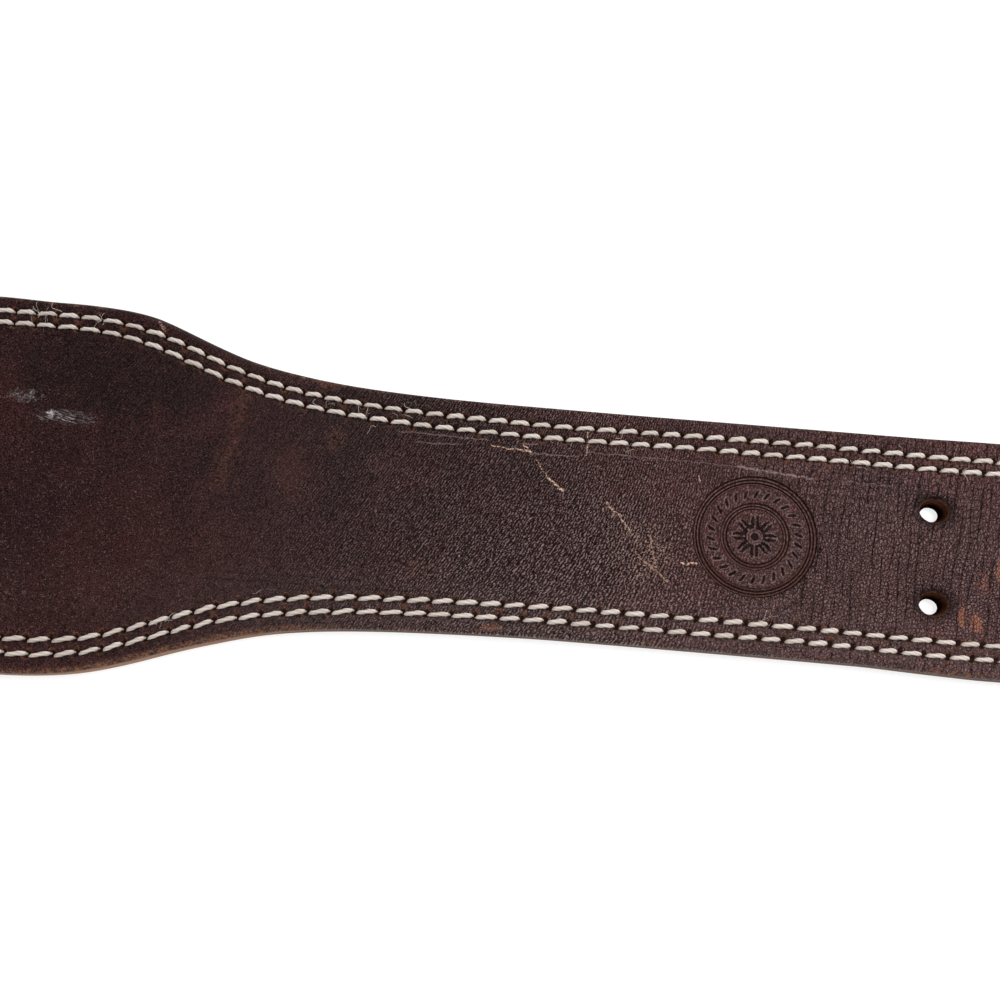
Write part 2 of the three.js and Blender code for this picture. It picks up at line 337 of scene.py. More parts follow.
class BeltShape:
    """The belt's outline, stitch rows and heights, in millimetres."""

    def __init__(self, sizes):
        self.length = sizes.length / MM
        self.thickness = sizes.thickness / MM
        self.back_width = sizes.back_width / MM
        self.end_width = sizes.end_width / MM
        self.halfway = sizes.taper_halfway / MM
        self.round = sizes.edge_round / MM
        self.insets = {"outer": sizes.outer_inset / MM, "inner": sizes.inner_inset / MM}
        self.pitches = {1: sizes.upper_pitch / MM, -1: sizes.lower_pitch / MM}
        self.thread = sizes.thread_width / MM
        self.hole_length = sizes.hole_length / MM
        self.hole_width = sizes.hole_width / MM
        half = sizes.hole_spacing / 2
        self.hole_rows = [(sizes.hole_offset + side * half) / MM for side in (-1, 1)]
        first, pitch = sizes.hole_first / MM, sizes.hole_pitch / MM
        stations = [first + pitch * i for i in range(sizes.hole_pairs)]
        self.prong_holes = np.array([(station, y) for station in stations for y in self.hole_rows])
        self.mark = np.array((sizes.mark_station / MM, 0.0))
        self.mark_radius = sizes.mark_diameter / 2 / MM
        self._trace()
        self.rows = {name: self._row(name) for name in ("outer", "inner")}
        self.cross_rows = self._cross_rows()
        self.stitch_holes = np.vstack([*self.rows.values(), *self.cross_rows])

    def half_width(self, station):
        """Half of the belt's plain width, with the rounded tip."""
        past = np.maximum(0, np.abs(station - BACK_CENTRE) - BACK_HALF_LENGTH)
        fall = (past / self.halfway) ** TAPER_SHARPNESS
        plain = (self.end_width + (self.back_width - self.end_width) / (1 + fall)) / 2
        into = np.clip((station - self.length + TIP_LENGTH) / TIP_LENGTH, 0, 1)
        return plain * np.sqrt(1 - into**2)

    def _trace(self):
        """Outline from the buckle end along the upper edge, round the tip and back."""
        nose = FOLD_RADIUS * (1 - np.cos(np.linspace(0, math.pi / 2, 10)))
        body = np.arange(FOLD_RADIUS + 0.25, self.length - TIP_LENGTH, 0.25)
        turn = np.linspace(0, math.pi / 2, 180)[1:]
        tip = self.length - TIP_LENGTH * (1 - np.sin(turn))
        station = np.concatenate([nose, body, tip])
        half = self.half_width(station)
        half[-len(turn) :] = self.end_width / 2 * np.cos(turn)
        upper = np.stack([station, half], 1)
        self.plain = np.vstack([upper, upper[-2::-1] * (1, -1)])
        self.plain_inward = self._inward(self.plain)
        window = np.hanning(41) / np.hanning(41).sum()
        stray = [np.interp(station, EDGE_STATIONS, row) for row in EDGE_STRAY]
        above, below = [np.convolve(row, window, "same") for row in stray]
        stray = np.concatenate([above, below[-2::-1]])
        self.outline = self.plain - self.plain_inward * stray[:, None]
        self.inward = self._inward(self.outline)

    def _inward(self, line):
        """Unit vectors that point into the belt from an outline."""
        along = np.gradient(line, axis=0)
        along /= np.linalg.norm(along, axis=1)[:, None]
        inward = np.stack([along[:, 1], -along[:, 0]], 1)
        inward[0], inward[-1] = (0, -1), (0, 1)
        return inward

    def row_inset(self, name, station, side):
        """Inset of a row from the plain outline, which strays a little along the belt."""
        above = np.interp(station, STRAY_STATIONS, STITCH_ROWS[name, 1]["stray"])
        below = np.interp(station, STRAY_STATIONS, STITCH_ROWS[name, -1]["stray"])
        return self.insets[name] + np.where(side > 0, above, below)

    def _row(self, name):
        """Holes of one edge row: along the upper edge, round the tip and back."""
        halves = []
        middle = len(self.plain) // 2
        for side in (1, -1):
            phase, drift = STITCH_ROWS[name, side]["phase"], STITCH_ROWS[name, side]["drift"]
            part = slice(0, middle + 1) if side > 0 else slice(len(self.plain) - 1, middle - 1, -1)
            edge, inward = self.plain[part], self.plain_inward[part]
            inset = self.row_inset(name, edge[:, 0], side)
            fade = smooth(edge[:, 0], self.length - 60, self.length - 20)
            inset = inset * (1 - fade) + self.insets[name] * fade
            path = edge + inward * inset[:, None]
            arc = np.concatenate([[0], np.cumsum(np.hypot(*np.diff(path, axis=0).T))])
            knots = DRIFT_START + DRIFT_STEP * np.arange(len(drift))
            count = (arc - np.interp(DRIFT_MIDDLE, path[:, 0], arc)) / self.pitches[side]
            count = count + phase + np.interp(path[:, 0], knots, drift)
            start = np.interp(ROWS_START, path[:, 0], count)
            marks = np.arange(math.ceil(start) + 0.5, count[-1] - 0.3)
            halves.append(np.stack([np.interp(marks, count, path[:, k]) for k in (0, 1)], 1))
        upper, lower = halves
        if np.hypot(*(upper[-1] - lower[-1])) < 0.5 * self.pitches[1]:
            upper = upper[:-1]
        return np.vstack([upper, lower[::-1]])

    def _cross_rows(self):
        """Two short rows across the belt that close the fold."""
        reach = self.end_width / 2 - self.insets["inner"] - self.pitches[1] * 0.8
        count = int(2 * reach / self.pitches[1])
        y = np.linspace(-reach, reach, count + 1)
        return [np.stack([np.full(len(y), x), y], 1) for x in (ROWS_START, ROWS_START + 4)]

    def inset_of(self, points, plain=False):
        """Distance from the outline, or from the plain one, up to FAR_INSIDE."""
        line, inward = (self.plain, self.plain_inward) if plain else (self.outline, self.inward)
        line, inward = line[::2], inward[::2]
        found = np.full(len(points), FAR_INSIDE)
        order = np.argsort(points[:, 0])
        for some in np.array_split(order, range(400, len(order), 400)):
            first, last = points[some[[0, -1]], 0]
            close = (line[:, 0] > first - FAR_INSIDE - 1) & (line[:, 0] < last + FAR_INSIDE + 1)
            gap = points[some][:, None, :] - line[close][None, :, :]
            closest = (gap**2).sum(2).argmin(1)
            gap = gap[np.arange(len(some)), closest]
            found[some] = np.minimum(FAR_INSIDE, np.abs((gap * inward[close][closest]).sum(1)))
        return found

    def fold_top(self, station):
        """Height of the face without any relief."""
        nose = FOLD_RADIUS + np.sqrt(np.maximum(0, FOLD_RADIUS**2 - (FOLD_RADIUS - station) ** 2))
        along = np.clip((station - FOLD_RADIUS) / (FOLD_RAMP_END - FOLD_RADIUS), 0, 1)
        bulge = 2 * FOLD_RADIUS - self.thickness
        rest = self.thickness + bulge * (0.5 + 0.5 * np.cos(math.pi * along))
        return np.where(station < FOLD_RADIUS, nose, rest)

    def fold_bottom(self, station):
        """Height of the underside without any relief."""
        return np.where(station < FOLD_RADIUS, 2 * FOLD_RADIUS - self.fold_top(station), 0.0)

    def shoulder(self, points, inset):
        """How far the rounded edge falls below the flat."""
        height = self.fold_top(points[:, 0]) - self.fold_bottom(points[:, 0])
        radius = np.minimum(self.round, 0.4 * height)
        straight = self.end_width / 2 - np.abs(points[:, 1])
        side = np.where(points[:, 0] < FOLD_RAMP_END, straight, inset)
        depth = np.clip(1 - side / np.maximum(radius, 1e-6), 0, 1)
        return radius * (1 - np.sqrt(1 - depth**2))

    def mark_relief(self, points):
        """Depth of the pressed round mark, and how deep it is at its lines."""
        gap = points - self.mark
        radius = np.hypot(gap[:, 0], gap[:, 1])
        angle = np.arctan2(gap[:, 1], gap[:, 0])
        scale = radius * MARK_DRAWN_RADIUS / self.mark_radius
        ground = 1 - smooth(scale, 15.4, 16.5)
        band = smooth(scale, 14.1, 14.6) * (1 - smooth(scale, 15.7, 16.4))
        border = band - 0.55 * bell(scale - 15.35, 0.2) - 0.35 * bell(scale - 14.85, 0.16)
        inner = smooth(scale, 7.5, 7.8) * (1 - smooth(scale, 8.9, 9.2))
        inner = inner - 0.6 * bell(scale - 8.35, 0.2)
        leaf = ((angle / (2 * math.pi) * MARK_LEAVES + (scale - 11.6) * 0.16) % 1) - 0.5
        leaves = bell(leaf, 0.2) * np.exp(-(((scale - 11.6) / 1.35) ** 4))
        petal = np.abs(np.cos(angle * MARK_PETALS / 2))
        reach = 2.4 + 3.9 * petal**0.7
        petals = smooth(reach - scale, -0.1, 0.45) * smooth(scale, 1.8, 2.4)
        vein = 1 - 0.7 * bell(petal - 1, 0.02)
        heart = np.exp(-((scale / 1.2) ** 4))
        motif = np.clip(0.95 * leaves + 0.8 * petals * vein + heart, 0, 1.3)
        pressed = np.clip(border + 0.8 * inner + motif, 0, 1.3)
        return MARK_GROUND_DEPTH * ground + MARK_LINE_DEPTH * pressed, motif

    def hole_offset(self, points):
        """How far each point lies outside the nearest prong hole's bore."""
        gap = nearest(points, self.prong_holes, 12)
        stretch = self.hole_length / self.hole_width
        return np.hypot(gap[:, 0] / stretch, gap[:, 1]) - self.hole_width / 2

    def seam_offsets(self, points):
        """Distances of the points from the two rows along their edge, an array for each row."""
        side = np.where(points[:, 1] > 0, 1, -1)
        inset = self.inset_of(points, plain=True)
        return [inset - self.row_inset(name, points[:, 0], side) for name in self.insets]

    def face_height(self, points, inset, dips=True):
        """Height of the face, and what is painted on it: dip, rim, mark, and the painted shadow of
        the stitches beside each row.
        """
        station, y = points[:, 0], points[:, 1]
        height = self.fold_top(station) - self.shoulder(points, inset)
        inner = smooth(inset, 1.5, 9)
        height += inner * 0.16 * soft_noise(station, y, 46, 3)
        height += inner * 0.07 * soft_noise(station, y, 13, 4)
        sewn = smooth(station, ROWS_START - 3, ROWS_START)
        groove_shade = np.zeros(len(points))
        for offset in self.seam_offsets(points):
            height -= SEAM_DEPTH * sewn * bell(offset, 0.8)
            # Painted shadow of the stitches, just beside each row
            groove_shade = np.maximum(groove_shade, sewn * bell(offset + 0.45, 1.0))
        gap = nearest(points, self.stitch_holes, 3.2)
        across = gap[:, 1] * np.where(y > 0, 1, -1) + 0.1
        distance = np.hypot(gap[:, 0] + 0.2 * across, across * 0.74)
        dip = bell(distance, 0.74)
        if dips:
            height -= STITCH_HOLE_DEPTH * dip
            height += STITCH_RIM_HEIGHT * bell(distance - 1.5, 0.5)
        rim = self.hole_offset(points)
        height -= PRONG_HOLE_ROUND * np.exp(-np.maximum(rim, 0) / ROUND_WIDTH)
        height += PRONG_RIM_HEIGHT * bell(rim - 1.9, 0.9)
        depth, lines = self.mark_relief(points)
        swell = np.hypot(*(points - self.mark).T) - self.mark_radius - 0.9
        height = height - depth + MARK_RIM_HEIGHT * bell(swell, 0.7)
        return height, dip, rim, lines, groove_shade

    def under_height(self, points, inset, rim):
        """Height of the underside."""
        height = self.fold_bottom(points[:, 0]) + self.shoulder(points, inset)
        sewn = smooth(points[:, 0], ROWS_START - 3, ROWS_START)
        for offset in self.seam_offsets(points):
            height += UNDER_SEAM_DEPTH * bell(offset, 0.95) * sewn
        return height + UNDER_HOLE_ROUND * np.exp(-np.maximum(rim, 0) / ROUND_WIDTH)

    def bore_ring(self, centre, out=0.0):
        """Points round a prong hole, at a distance outside its bore."""
        width, length = self.hole_width / 2 + out, self.hole_length / 2 + out
        return ring(centre, width, PRONG_HOLE_POINTS, length / width)


def ring(centre, radius, count, stretch=1.0, turn=0.0):
    """Points on an oval round a centre."""
    angle = np.arange(count) * 2 * math.pi / count + turn
    return centre + np.stack([radius * stretch * np.cos(angle), radius * np.sin(angle)], 1)


def outline_numbers(shape):
    """Numbers of the outline's points that the mesh uses, closer together where it is fine."""
    station = shape.outline[:, 0]
    fine = (station > FINE_FROM) & (station < FINE_TO)
    spacing = np.select([station < FOLD_RADIUS, station < FOLD_RAMP_END, fine], EDGE_SPACINGS, 1.8)
    step = np.concatenate([[0], np.hypot(*np.diff(shape.outline, axis=0).T)])
    count = np.cumsum(step / spacing)
    total = int(count[-1])
    picked = np.searchsorted(count, np.arange(total + 1) * count[-1] / total - 1e-9)
    return np.unique(np.clip(picked, 0, len(station) - 1))


def inside_points(shape, spacing, margin, keep_out):
    """Staggered grid of points that lie further in than margin and outside the keep out discs."""
    x = np.arange(spacing / 2, shape.length, spacing)
    y = np.arange(-60, 60, spacing)
    grid = np.stack(np.meshgrid(x, y, indexing="ij"), -1)
    grid[1::2, :, 1] += spacing / 2
    grid = grid.reshape(-1, 2)
    grid = grid[np.abs(grid[:, 1]) < shape.half_width(grid[:, 0]) - margin * 0.6]
    nose = grid[:, 0] < LINES_END
    grid = grid[(shape.inset_of(grid) > margin) | nose]
    for centre, radius in keep_out:
        gap = grid - centre
        grid = grid[np.hypot(gap[:, 0], gap[:, 1]) > radius]
    return grid


def nose_points(shape):
    """Lines of points across the round nose of the fold."""
    lines = []
    for angle in np.linspace(0, math.pi / 2, 10)[1:]:
        station = FOLD_RADIUS * (1 - math.cos(angle))
        half = shape.half_width(station) - 2.2
        y = np.linspace(-half, half, int(2 * half / NOSE_SPACING))
        lines.append(np.stack([np.full(len(y), station), y], 1))
    return np.vstack(lines)


class LeatherShell:
    """Points, faces and painted values of the leather body before the fold is opened."""

    def __init__(self, shape):
        self.shape = shape
        picked = outline_numbers(shape)
        self.edge, self.inward = shape.outline[picked], shape.inward[picked]
        y = np.linspace(-self.edge[0, 1], self.edge[0, 1], 32)[1:-1]
        end = np.stack([np.zeros(len(y)), y], 1)
        self.borders = [np.vstack([self.edge, end])]
        self.borders += [shape.bore_ring(centre) for centre in shape.prong_holes]
        starts = np.cumsum([0] + [len(border) for border in self.borders])
        self.loops = [np.arange(a, b) for a, b in zip(starts, starts[1:])]
        self.points, self.faces = [], []
        self.painted = {name: [] for name in PAINTED}
        face, under = self._face(), self._underside()
        for number, loop in enumerate(self.loops):
            self._wall(number, face[loop], under[loop])

    def _add(self, points, **painted):
        """Adds points and what is painted on them, and returns their numbers."""
        start = sum(len(some) for some in self.points)
        self.points.append(points)
        for name in PAINTED:
            self.painted[name].append(np.full(len(points), painted.get(name, 0.0)))
        return np.arange(start, start + len(points))

    def _lines(self, lines, sparse_lines):
        """Lines of points that follow the outline."""
        band = [self.edge + self.inward * inset for inset in lines]
        band += [self.edge[::2] + self.inward[::2] * inset for inset in sparse_lines]
        band = np.vstack(band)
        band = band[(band[:, 0] > NOSE_END) | (self.shape.inset_of(band) < NOSE_INSET)]
        return band[band[:, 0] > LINES_START]

    def _surface(self, first, spacing, keep_out, last):
        """Flat mesh inside the borders, and where the points of the borders went in it."""
        shape = self.shape
        clearing = shape.hole_width / 2 + PRONG_HOLE_CLEARING
        keep_out = [(centre, clearing) for centre in shape.prong_holes] + keep_out
        inside = inside_points(shape, spacing, LINES_END, keep_out)
        inside = inside[inside[:, 0] > FOLD_RADIUS + 1]
        points = [*self.borders, *first, inside, nose_points(shape)]
        for centre in shape.prong_holes:
            points += [shape.bore_ring(centre, out) for out in PRONG_HOLE_RINGS]
        places, faces, went = triangulate(np.vstack([*points, *last]), self.loops)
        return places, faces[shape.hole_offset(places[faces].mean(1)) > 0], went

    def _face(self):
        """Adds the face and returns the numbers of its border points."""
        shape = self.shape
        band = self._lines(FACE_LINES, ())
        gap = nearest(band, shape.stitch_holes, STITCH_CLEARING + 0.05)
        band = band[np.hypot(gap[:, 0], gap[:, 1]) > STITCH_CLEARING]
        first = [shape.stitch_holes]
        for radius, count, turn in STITCH_RINGS:
            first += [ring(hole, radius, count, 1.0, turn) for hole in shape.stitch_holes]
        keep_out = [(shape.mark, shape.mark_radius + MARK_CLEARING)]
        keep_out += [(hole, CROSS_STITCH_CLEARING) for row in shape.cross_rows for hole in row]
        last = [shape.mark[None, :]]
        end = shape.mark_radius + MARK_RINGS_MARGIN
        for radius in np.arange(MARK_RINGS_START, end, MARK_RINGS_STEP):
            count = max(8, int(2 * math.pi * radius / MARK_RINGS_SPACING))
            last.append(ring(shape.mark, radius, count, 1.0, radius))
        places, faces, went = self._surface([*first, band], FACE_SPACING, keep_out, last)
        inset = shape.inset_of(places)
        height, dip, rim, lines, groove_shade = shape.face_height(places, inset)
        points = np.column_stack([places, height])
        painted = {"inset": inset, "dip": dip, "rim": rim, "mark": lines, "groove_shade": groove_shade}
        numbers = self._add(points, skin=1.0, **painted)
        self.faces.append(faces)
        return numbers[went]

    def _underside(self):
        """Adds the underside and returns the numbers of its border points."""
        shape = self.shape
        band = self._lines(UNDER_LINES, UNDER_SPARSE_LINES)
        places, faces, went = self._surface([band], UNDER_SPACING, [], [])
        inset, rim = shape.inset_of(places), shape.hole_offset(places)
        points = np.column_stack([places, shape.under_height(places, inset, rim)])
        numbers = self._add(points, inset=inset, rim=rim)
        self.faces.append(numbers[faces[:, ::-1]])
        return numbers[went]

    def _wall(self, number, upper, lower):
        """Wall between the two surfaces: number 0 is the cut edge and the others are bores."""
        placed = np.vstack(self.points[:2])
        top, bottom = placed[upper], placed[lower]
        strips = BORE_WALL_STRIPS if number else EDGE_WALL_STRIPS
        rows = [upper]
        for step in range(1, strips):
            share = step / strips
            row = top * (1 - share) + bottom * share
            rough = soft_noise(row[:, 0] + number, row[:, 2] * 3 + row[:, 1], 5, 11 + step)
            if number:
                centre = self.shape.prong_holes[number - 1]
                wide = 1 + 0.04 * rough - BORE_NARROWING * smooth(share, 0.1, 0.7)
                row[:, :2] = centre + (row[:, :2] - centre) * wide[:, None]
                rows.append(self._add(row, rim=-share, skin=0.5))
            else:
                out = np.zeros_like(row[:, :2])
                out[: len(self.edge)] = -self.inward
                swell = EDGE_SWELL * math.sin(math.pi * share) + 0.05 * rough
                row[:, :2] += out * swell[:, None] * smooth(row[:, 0], 8, 20)[:, None]
                rows.append(self._add(row, rim=50.0))
        rows.append(lower)
        for high, low in zip(rows, rows[1:]):
            quad = np.stack([high, np.roll(high, -1), np.roll(low, -1), low], 1)
            if number:
                quad = quad[:, ::-1]
            self.faces += [quad[:, [0, 1, 2]], quad[:, [0, 2, 3]]]

    def mesh(self, name):
        """The whole shell, with its painted values as attributes of the points."""
        points = np.vstack(self.points) - (ORIGIN_STATION, 0, 0)
        values = {label: np.concatenate(rows) for label, rows in self.painted.items()}
        return mesh_of(name, points, np.vstack(self.faces), values)


def prism(name, outline, low, high, axis):
    """Closed prism between two places on the y or z axis, as an object for cutting."""
    order = [0, 2, 1] if axis == "y" else [0, 1, 2]
    ends = [[(x, other, at) for x, other in outline] for at in (low, high)]
    points = np.vstack(ends)[:, order] - (ORIGIN_STATION, 0, 0)
    count = len(outline)
    faces = [list(range(count)), list(range(2 * count - 1, count - 1, -1))]
    for i in range(count):
        j = (i + 1) % count
        faces.append([j, i, i + count, j + count])
    cutter = linked(name, mesh_of(name, points, faces, smooth_faces=False))
    make_outward(cutter.data)
    return cutter


def make_outward(mesh):
    """Welds the mesh of a closed shape and turns its normals outwards."""
    shell = bmesh.new()
    shell.from_mesh(mesh)
    bmesh.ops.remove_doubles(shell, verts=shell.verts, dist=1e-6)
    bmesh.ops.dissolve_degenerate(shell, dist=1e-7, edges=shell.edges)
    if not all(edge.is_manifold for edge in shell.edges):
        raise RuntimeError(f"{mesh.name} is not a closed shape.")
    bmesh.ops.recalc_face_normals(shell, faces=shell.faces)
    shell.to_mesh(mesh)
    shell.free()


def bar_space():
    """Teardrop outline of the space round the heel bar, as station and height pairs."""
    middle, radius = FOLD_RADIUS, BAR_SPACE_RADIUS
    along, down = THROAT[0] - middle, THROAT[1] - middle
    heading = math.atan2(down, along)
    spread = math.acos(radius / math.hypot(along, down))
    turns = np.linspace(heading + spread, heading - spread + 2 * math.pi, 40)
    arc = [(middle + radius * math.cos(t), middle + radius * math.sin(t)) for t in turns]
    return arc + [THROAT]


def slot_outline(y):
    """Outline of the slot in the fold that a prong comes through, as station and y pairs."""
    turns = np.linspace(-math.pi / 2, math.pi / 2, 17)
    middle, half = SLOT_END - SLOT_HALF_WIDTH, SLOT_HALF_WIDTH
    arc = [(middle + half * math.cos(t), y + half * math.sin(t)) for t in turns]
    return arc + [(SLOT_START, y + half), (SLOT_START, y - half)]


def cut(mesh, cutters):
    """The plain mesh that is left when the closed cutters are taken out of a mesh."""
    piece = linked(mesh.name, mesh)
    for cutter in cutters:
        modifier = piece.modifiers.new(cutter.name, "BOOLEAN")
        modifier.operation = "DIFFERENCE"
        modifier.solver = "MANIFOLD"
        modifier.object = cutter
    left = evaluated_mesh(piece)
    if len(left.polygons) == len(mesh.polygons):
        raise RuntimeError(f"The cutters took nothing out of {mesh.name}.")
    for thing in (piece, *cutters):
        bpy.data.objects.remove(thing)
    bpy.data.meshes.remove(mesh)
    return left


# Node trees


class Value:
    """A socket that takes part in Python expressions, which add Math nodes."""

    def __init__(self, tree, socket):
        self.tree = tree
        self.socket = socket

    def _maths(self, operation, *others):
        values = {0: self}
        values.update({i + 1: other for i, other in enumerate(others)})
        return self.tree.add("ShaderNodeMath", {"operation": operation}, values)

    def __add__(self, other):
        return self._maths("ADD", other)

    __radd__ = __add__

    def __sub__(self, other):
        return self._maths("SUBTRACT", other)

    def __rsub__(self, other):
        return self.tree.add("ShaderNodeMath", {"operation": "SUBTRACT"}, {0: other, 1: self})

    def __mul__(self, other):
        return self._maths("MULTIPLY", other)

    __rmul__ = __mul__

    def __truediv__(self, other):
        return self._maths("DIVIDE", other)

    def __pow__(self, other):
        return self._maths("POWER", other)

    def __abs__(self):
        return self._maths("ABSOLUTE")

    def at_most(self, other):
        return self._maths("MINIMUM", other)

    def at_least(self, other):
        return self._maths("MAXIMUM", other)

    def cosine(self):
        return self._maths("COSINE")

    def sine(self):
        return self._maths("SINE")

    def fall(self, low, high):
        """Goes smoothly from 1 at low to 0 at high."""
        return self.between(low, high, 1.0, 0.0)

    def between(self, low, high, start=0.0, end=1.0):
        """Goes smoothly from start at low to end at high."""
        values = {0: self, 1: low, 2: high, 3: start, 4: end}
        return self.tree.add("ShaderNodeMapRange", {"interpolation_type": "SMOOTHSTEP"}, values)


def opaque(rgb):
    """A fixed colour with its alpha, or the socket that gives a colour."""
    return rgb if isinstance(rgb, Value) else (*rgb, 1.0)


class Tree:
    """Adds nodes to one node tree."""

    def __init__(self, tree):
        self.tree = tree
        self.tree.nodes.clear()

    def add(self, kind, settings=None, inputs=None, output=0):
        """Adds a node, sets its settings and then its sockets, and returns one output."""
        node = self.tree.nodes.new(kind)
        for name, value in (settings or {}).items():
            setattr(node, name, value)
        for name, value in (inputs or {}).items():
            if isinstance(value, Value):
                self.tree.links.new(value.socket, node.inputs[name])
            else:
                node.inputs[name].default_value = value
        outputs = node.outputs
        return Value(self, outputs[output]) if len(outputs) else node

    def mix(self, first, second, factor):
        """Mixes two colours."""
        settings = {"data_type": "RGBA", "clamp_factor": True}
        values = {0: factor, 6: opaque(first), 7: opaque(second)}
        return self.add("ShaderNodeMix", settings, values, 2)

    def tint(self, colour, amount):
        """Multiplies a colour by a number that may vary."""
        values = {0: colour, "Scale": amount}
        return self.add("ShaderNodeVectorMath", {"operation": "SCALE"}, values)

    def bump(self, height, strength):
        """Normal of a surface whose relief is a height in millimetres."""
        values = {"Distance": MM, "Strength": strength, "Height": height}
        return self.add("ShaderNodeBump", None, values)

    def vector(self, x, y, z):
        return self.add("ShaderNodeCombineXYZ", None, {0: x, 1: y, 2: z})

    def parts(self, vector):
        node = self.tree.nodes.new("ShaderNodeSeparateXYZ")
        self.tree.links.new(vector.socket, node.inputs[0])
        return [Value(self, output) for output in node.outputs]

    def painted(self, name):
        return self.add("ShaderNodeAttribute", {"attribute_name": name}, None, 2)

    def noise(self, place, scale, detail=2.0, roughness=0.5):
        values = {"Vector": place, "Scale": scale, "Detail": detail, "Roughness": roughness}
        return self.add("ShaderNodeTexNoise", {"noise_dimensions": "3D"}, values)

    def noise_on(self, x, y, z, detail=2.0, roughness=0.5):
        """Noise about one unit wide on three axes of its own."""
        return self.noise(self.vector(x, y, z), 1.0, detail, roughness)

    def cell_edges(self, place):
        """Distance from the edges in a flat pattern of cells about one unit wide."""
        settings = {"feature": "DISTANCE_TO_EDGE", "voronoi_dimensions": "2D"}
        return self.add("ShaderNodeTexVoronoi", settings, {"Vector": place, "Scale": 1.0})

    def millimetres(self):
        """Place on the object."""
        return self.tint(self.add("ShaderNodeTexCoord", None, None, 3), 1000.0)


def new_material(name):
    material = bpy.data.materials.new(name)
    material.use_nodes = True
    return material, Tree(material.node_tree)


def principled(base, roughness, normal, specular):
    """Inputs of a surface. The normal may be None."""
    inputs = {"Base Color": base, "Roughness": roughness, "Specular IOR Level": specular}
    return {**inputs, "Normal": normal} if normal else inputs


def finish_material(tree, inputs, dull=None, share=0.0):
    """Ends the tree, with a second surface that takes the given share of it."""
    shader = tree.add("ShaderNodeBsdfPrincipled", None, inputs)
    if dull is not None:
        other = tree.add("ShaderNodeBsdfPrincipled", None, dull)
        shader = tree.add("ShaderNodeMixShader", None, {0: share, 1: shader, 2: other})
    tree.add("ShaderNodeOutputMaterial", None, {0: shader})


# Scratches on the face, in x and y millimetres: start, end, half width, strength
SCRATCHES = (
    ((258.6, 19.4), (268.8, 18.5), 0.26, 0.85),
    ((266.8, 20.4), (269.6, 18.2), 0.3, 0.9),
    ((271.0, 16.2), (274.6, 11.2), 0.24, 0.6),
    ((274.4, 11.6), (278.7, 8.3), 0.4, 1.0),
    ((290.6, 5.9), (294.4, 2.4), 0.42, 1.0),
    ((294.4, 2.4), (297.3, -1.2), 0.26, 0.7),
    ((284.1, 25.2), (284.5, 18.8), 0.34, 0.9),
    ((311.2, -8.7), (315.2, -8.6), 0.36, 1.0),
    ((302.6, -1.9), (304.6, -11.1), 0.28, 0.35),
    ((300.2, -8.0), (308.4, -14.3), 0.4, 0.4),
    ((163.2, 47.6), (165.2, 45.1), 0.5, 0.35),
    ((314.6, 15.4), (315.2, 13.9), 0.24, 0.6),
)

# Pale lines rubbed beside the upper seam, in the same columns
RUBBED_LINES = (
    ((233.3, 21.4), (258.1, 20.8), 0.26, 0.7),
    ((237.6, 18.6), (249.9, 19.1), 0.24, 0.6),
    ((266.9, 20.75), (270.9, 20.7), 0.3, 1.0),
    ((269.1, 18.0), (282.2, 18.1), 0.26, 0.8),
    ((284.0, 19.6), (330.0, 18.7), 0.24, 0.6),
    ((325.0, 18.7), (345.0, 17.0), 0.42, 1.0),
    ((350.7, 17.0), (366.0, 16.6), 0.24, 0.4),
)

# Creases pressed beside the lower seam, drawn only in colour as dark lines of painted shade, in the
# same columns
CREASES = (
    ((186.0, -22.9), (240.0, -22.3), 0.34, 0.6),
    ((186.0, -20.9), (226.0, -20.5), 0.32, 0.6),
    ((204.0, -24.4), (246.0, -24.0), 0.32, 0.6),
    ((214.0, 23.6), (262.0, 21.6), 0.3, 0.6),
)


# Flaked patches: centre, half sizes, raggedness, strength
FLAKES = (
    ((395.4, -5.0), (2.3, 8.5), 3.0, 1.0),
    ((384.5, -16.8), (1.3, 3.6), 3.0, 1.0),
    ((388.2, -18.2), (1.8, 3.0), 4.0, 1.0),
    ((389.5, -8.0), (2.6, 3.5), 5.0, 0.35),
    ((262.6, -30.0), (4.5, 1.2), 3.0, 0.5),
    ((212.7, 33.5), (5.0, 2.5), 3.0, 0.3),
    ((-355.0, 12.0), (7.0, 12.0), 3.4, 1.0),
)


def strongest(values):
    """The largest of several values at each place."""
    return functools.reduce(Value.at_least, values)


class Field:
    """Places on the belt in millimetres, and the patterns that its kinds of wear share."""

    def __init__(self, tree):
        self.tree = tree
        self.place = tree.millimetres()
        self.x, self.y, self.z = tree.parts(self.place)
        self.drift = self.noise(0.22) - 0.5
        self.ragged = self.noise(0.55, 4.0, 0.7)
        self.wobble = (self.noise(0.5, 3.0) - 0.5) * 1.6
        self.dots = self.noise(1.6, 2.0, 0.6)

    def noise(self, scale, detail=2.0, roughness=0.5):
        return self.tree.noise(self.place, scale, detail, roughness)

    def blot(self, centre, radii, wobble):
        """1 in the middle of an oval and 0 outside it."""
        dx, dy = (self.x - centre[0]) / radii[0], (self.y - centre[1]) / radii[1]
        return (dx * dx + dy * dy + wobble).fall(0.15, 1.0)

    def spot(self, centre, radii, raggedness=3.0):
        """A blot with a ragged edge."""
        return self.blot(centre, radii, (self.ragged - 0.5) * raggedness)

    def streak(self, start, end, half_width, wobble=None):
        """1 on a line between two places and 0 away from it."""
        (ax, ay), (bx, by) = start, end
        length = math.hypot(bx - ax, by - ay)
        ux, uy = (bx - ax) / length, (by - ay) / length
        dx, dy = self.x - ax, self.y - ay
        along = dx * ux + dy * uy
        across = abs(dy * ux - dx * uy + (wobble or self.wobble))
        past = abs(along - length / 2) - length / 2
        return (across + past.at_least(0.0)).fall(half_width * 0.4, half_width)

    def drawn(self, lines):
        """The lines of a table, each as strong as it says."""
        return strongest([self.streak(*line[:3]) * line[3] for line in lines])


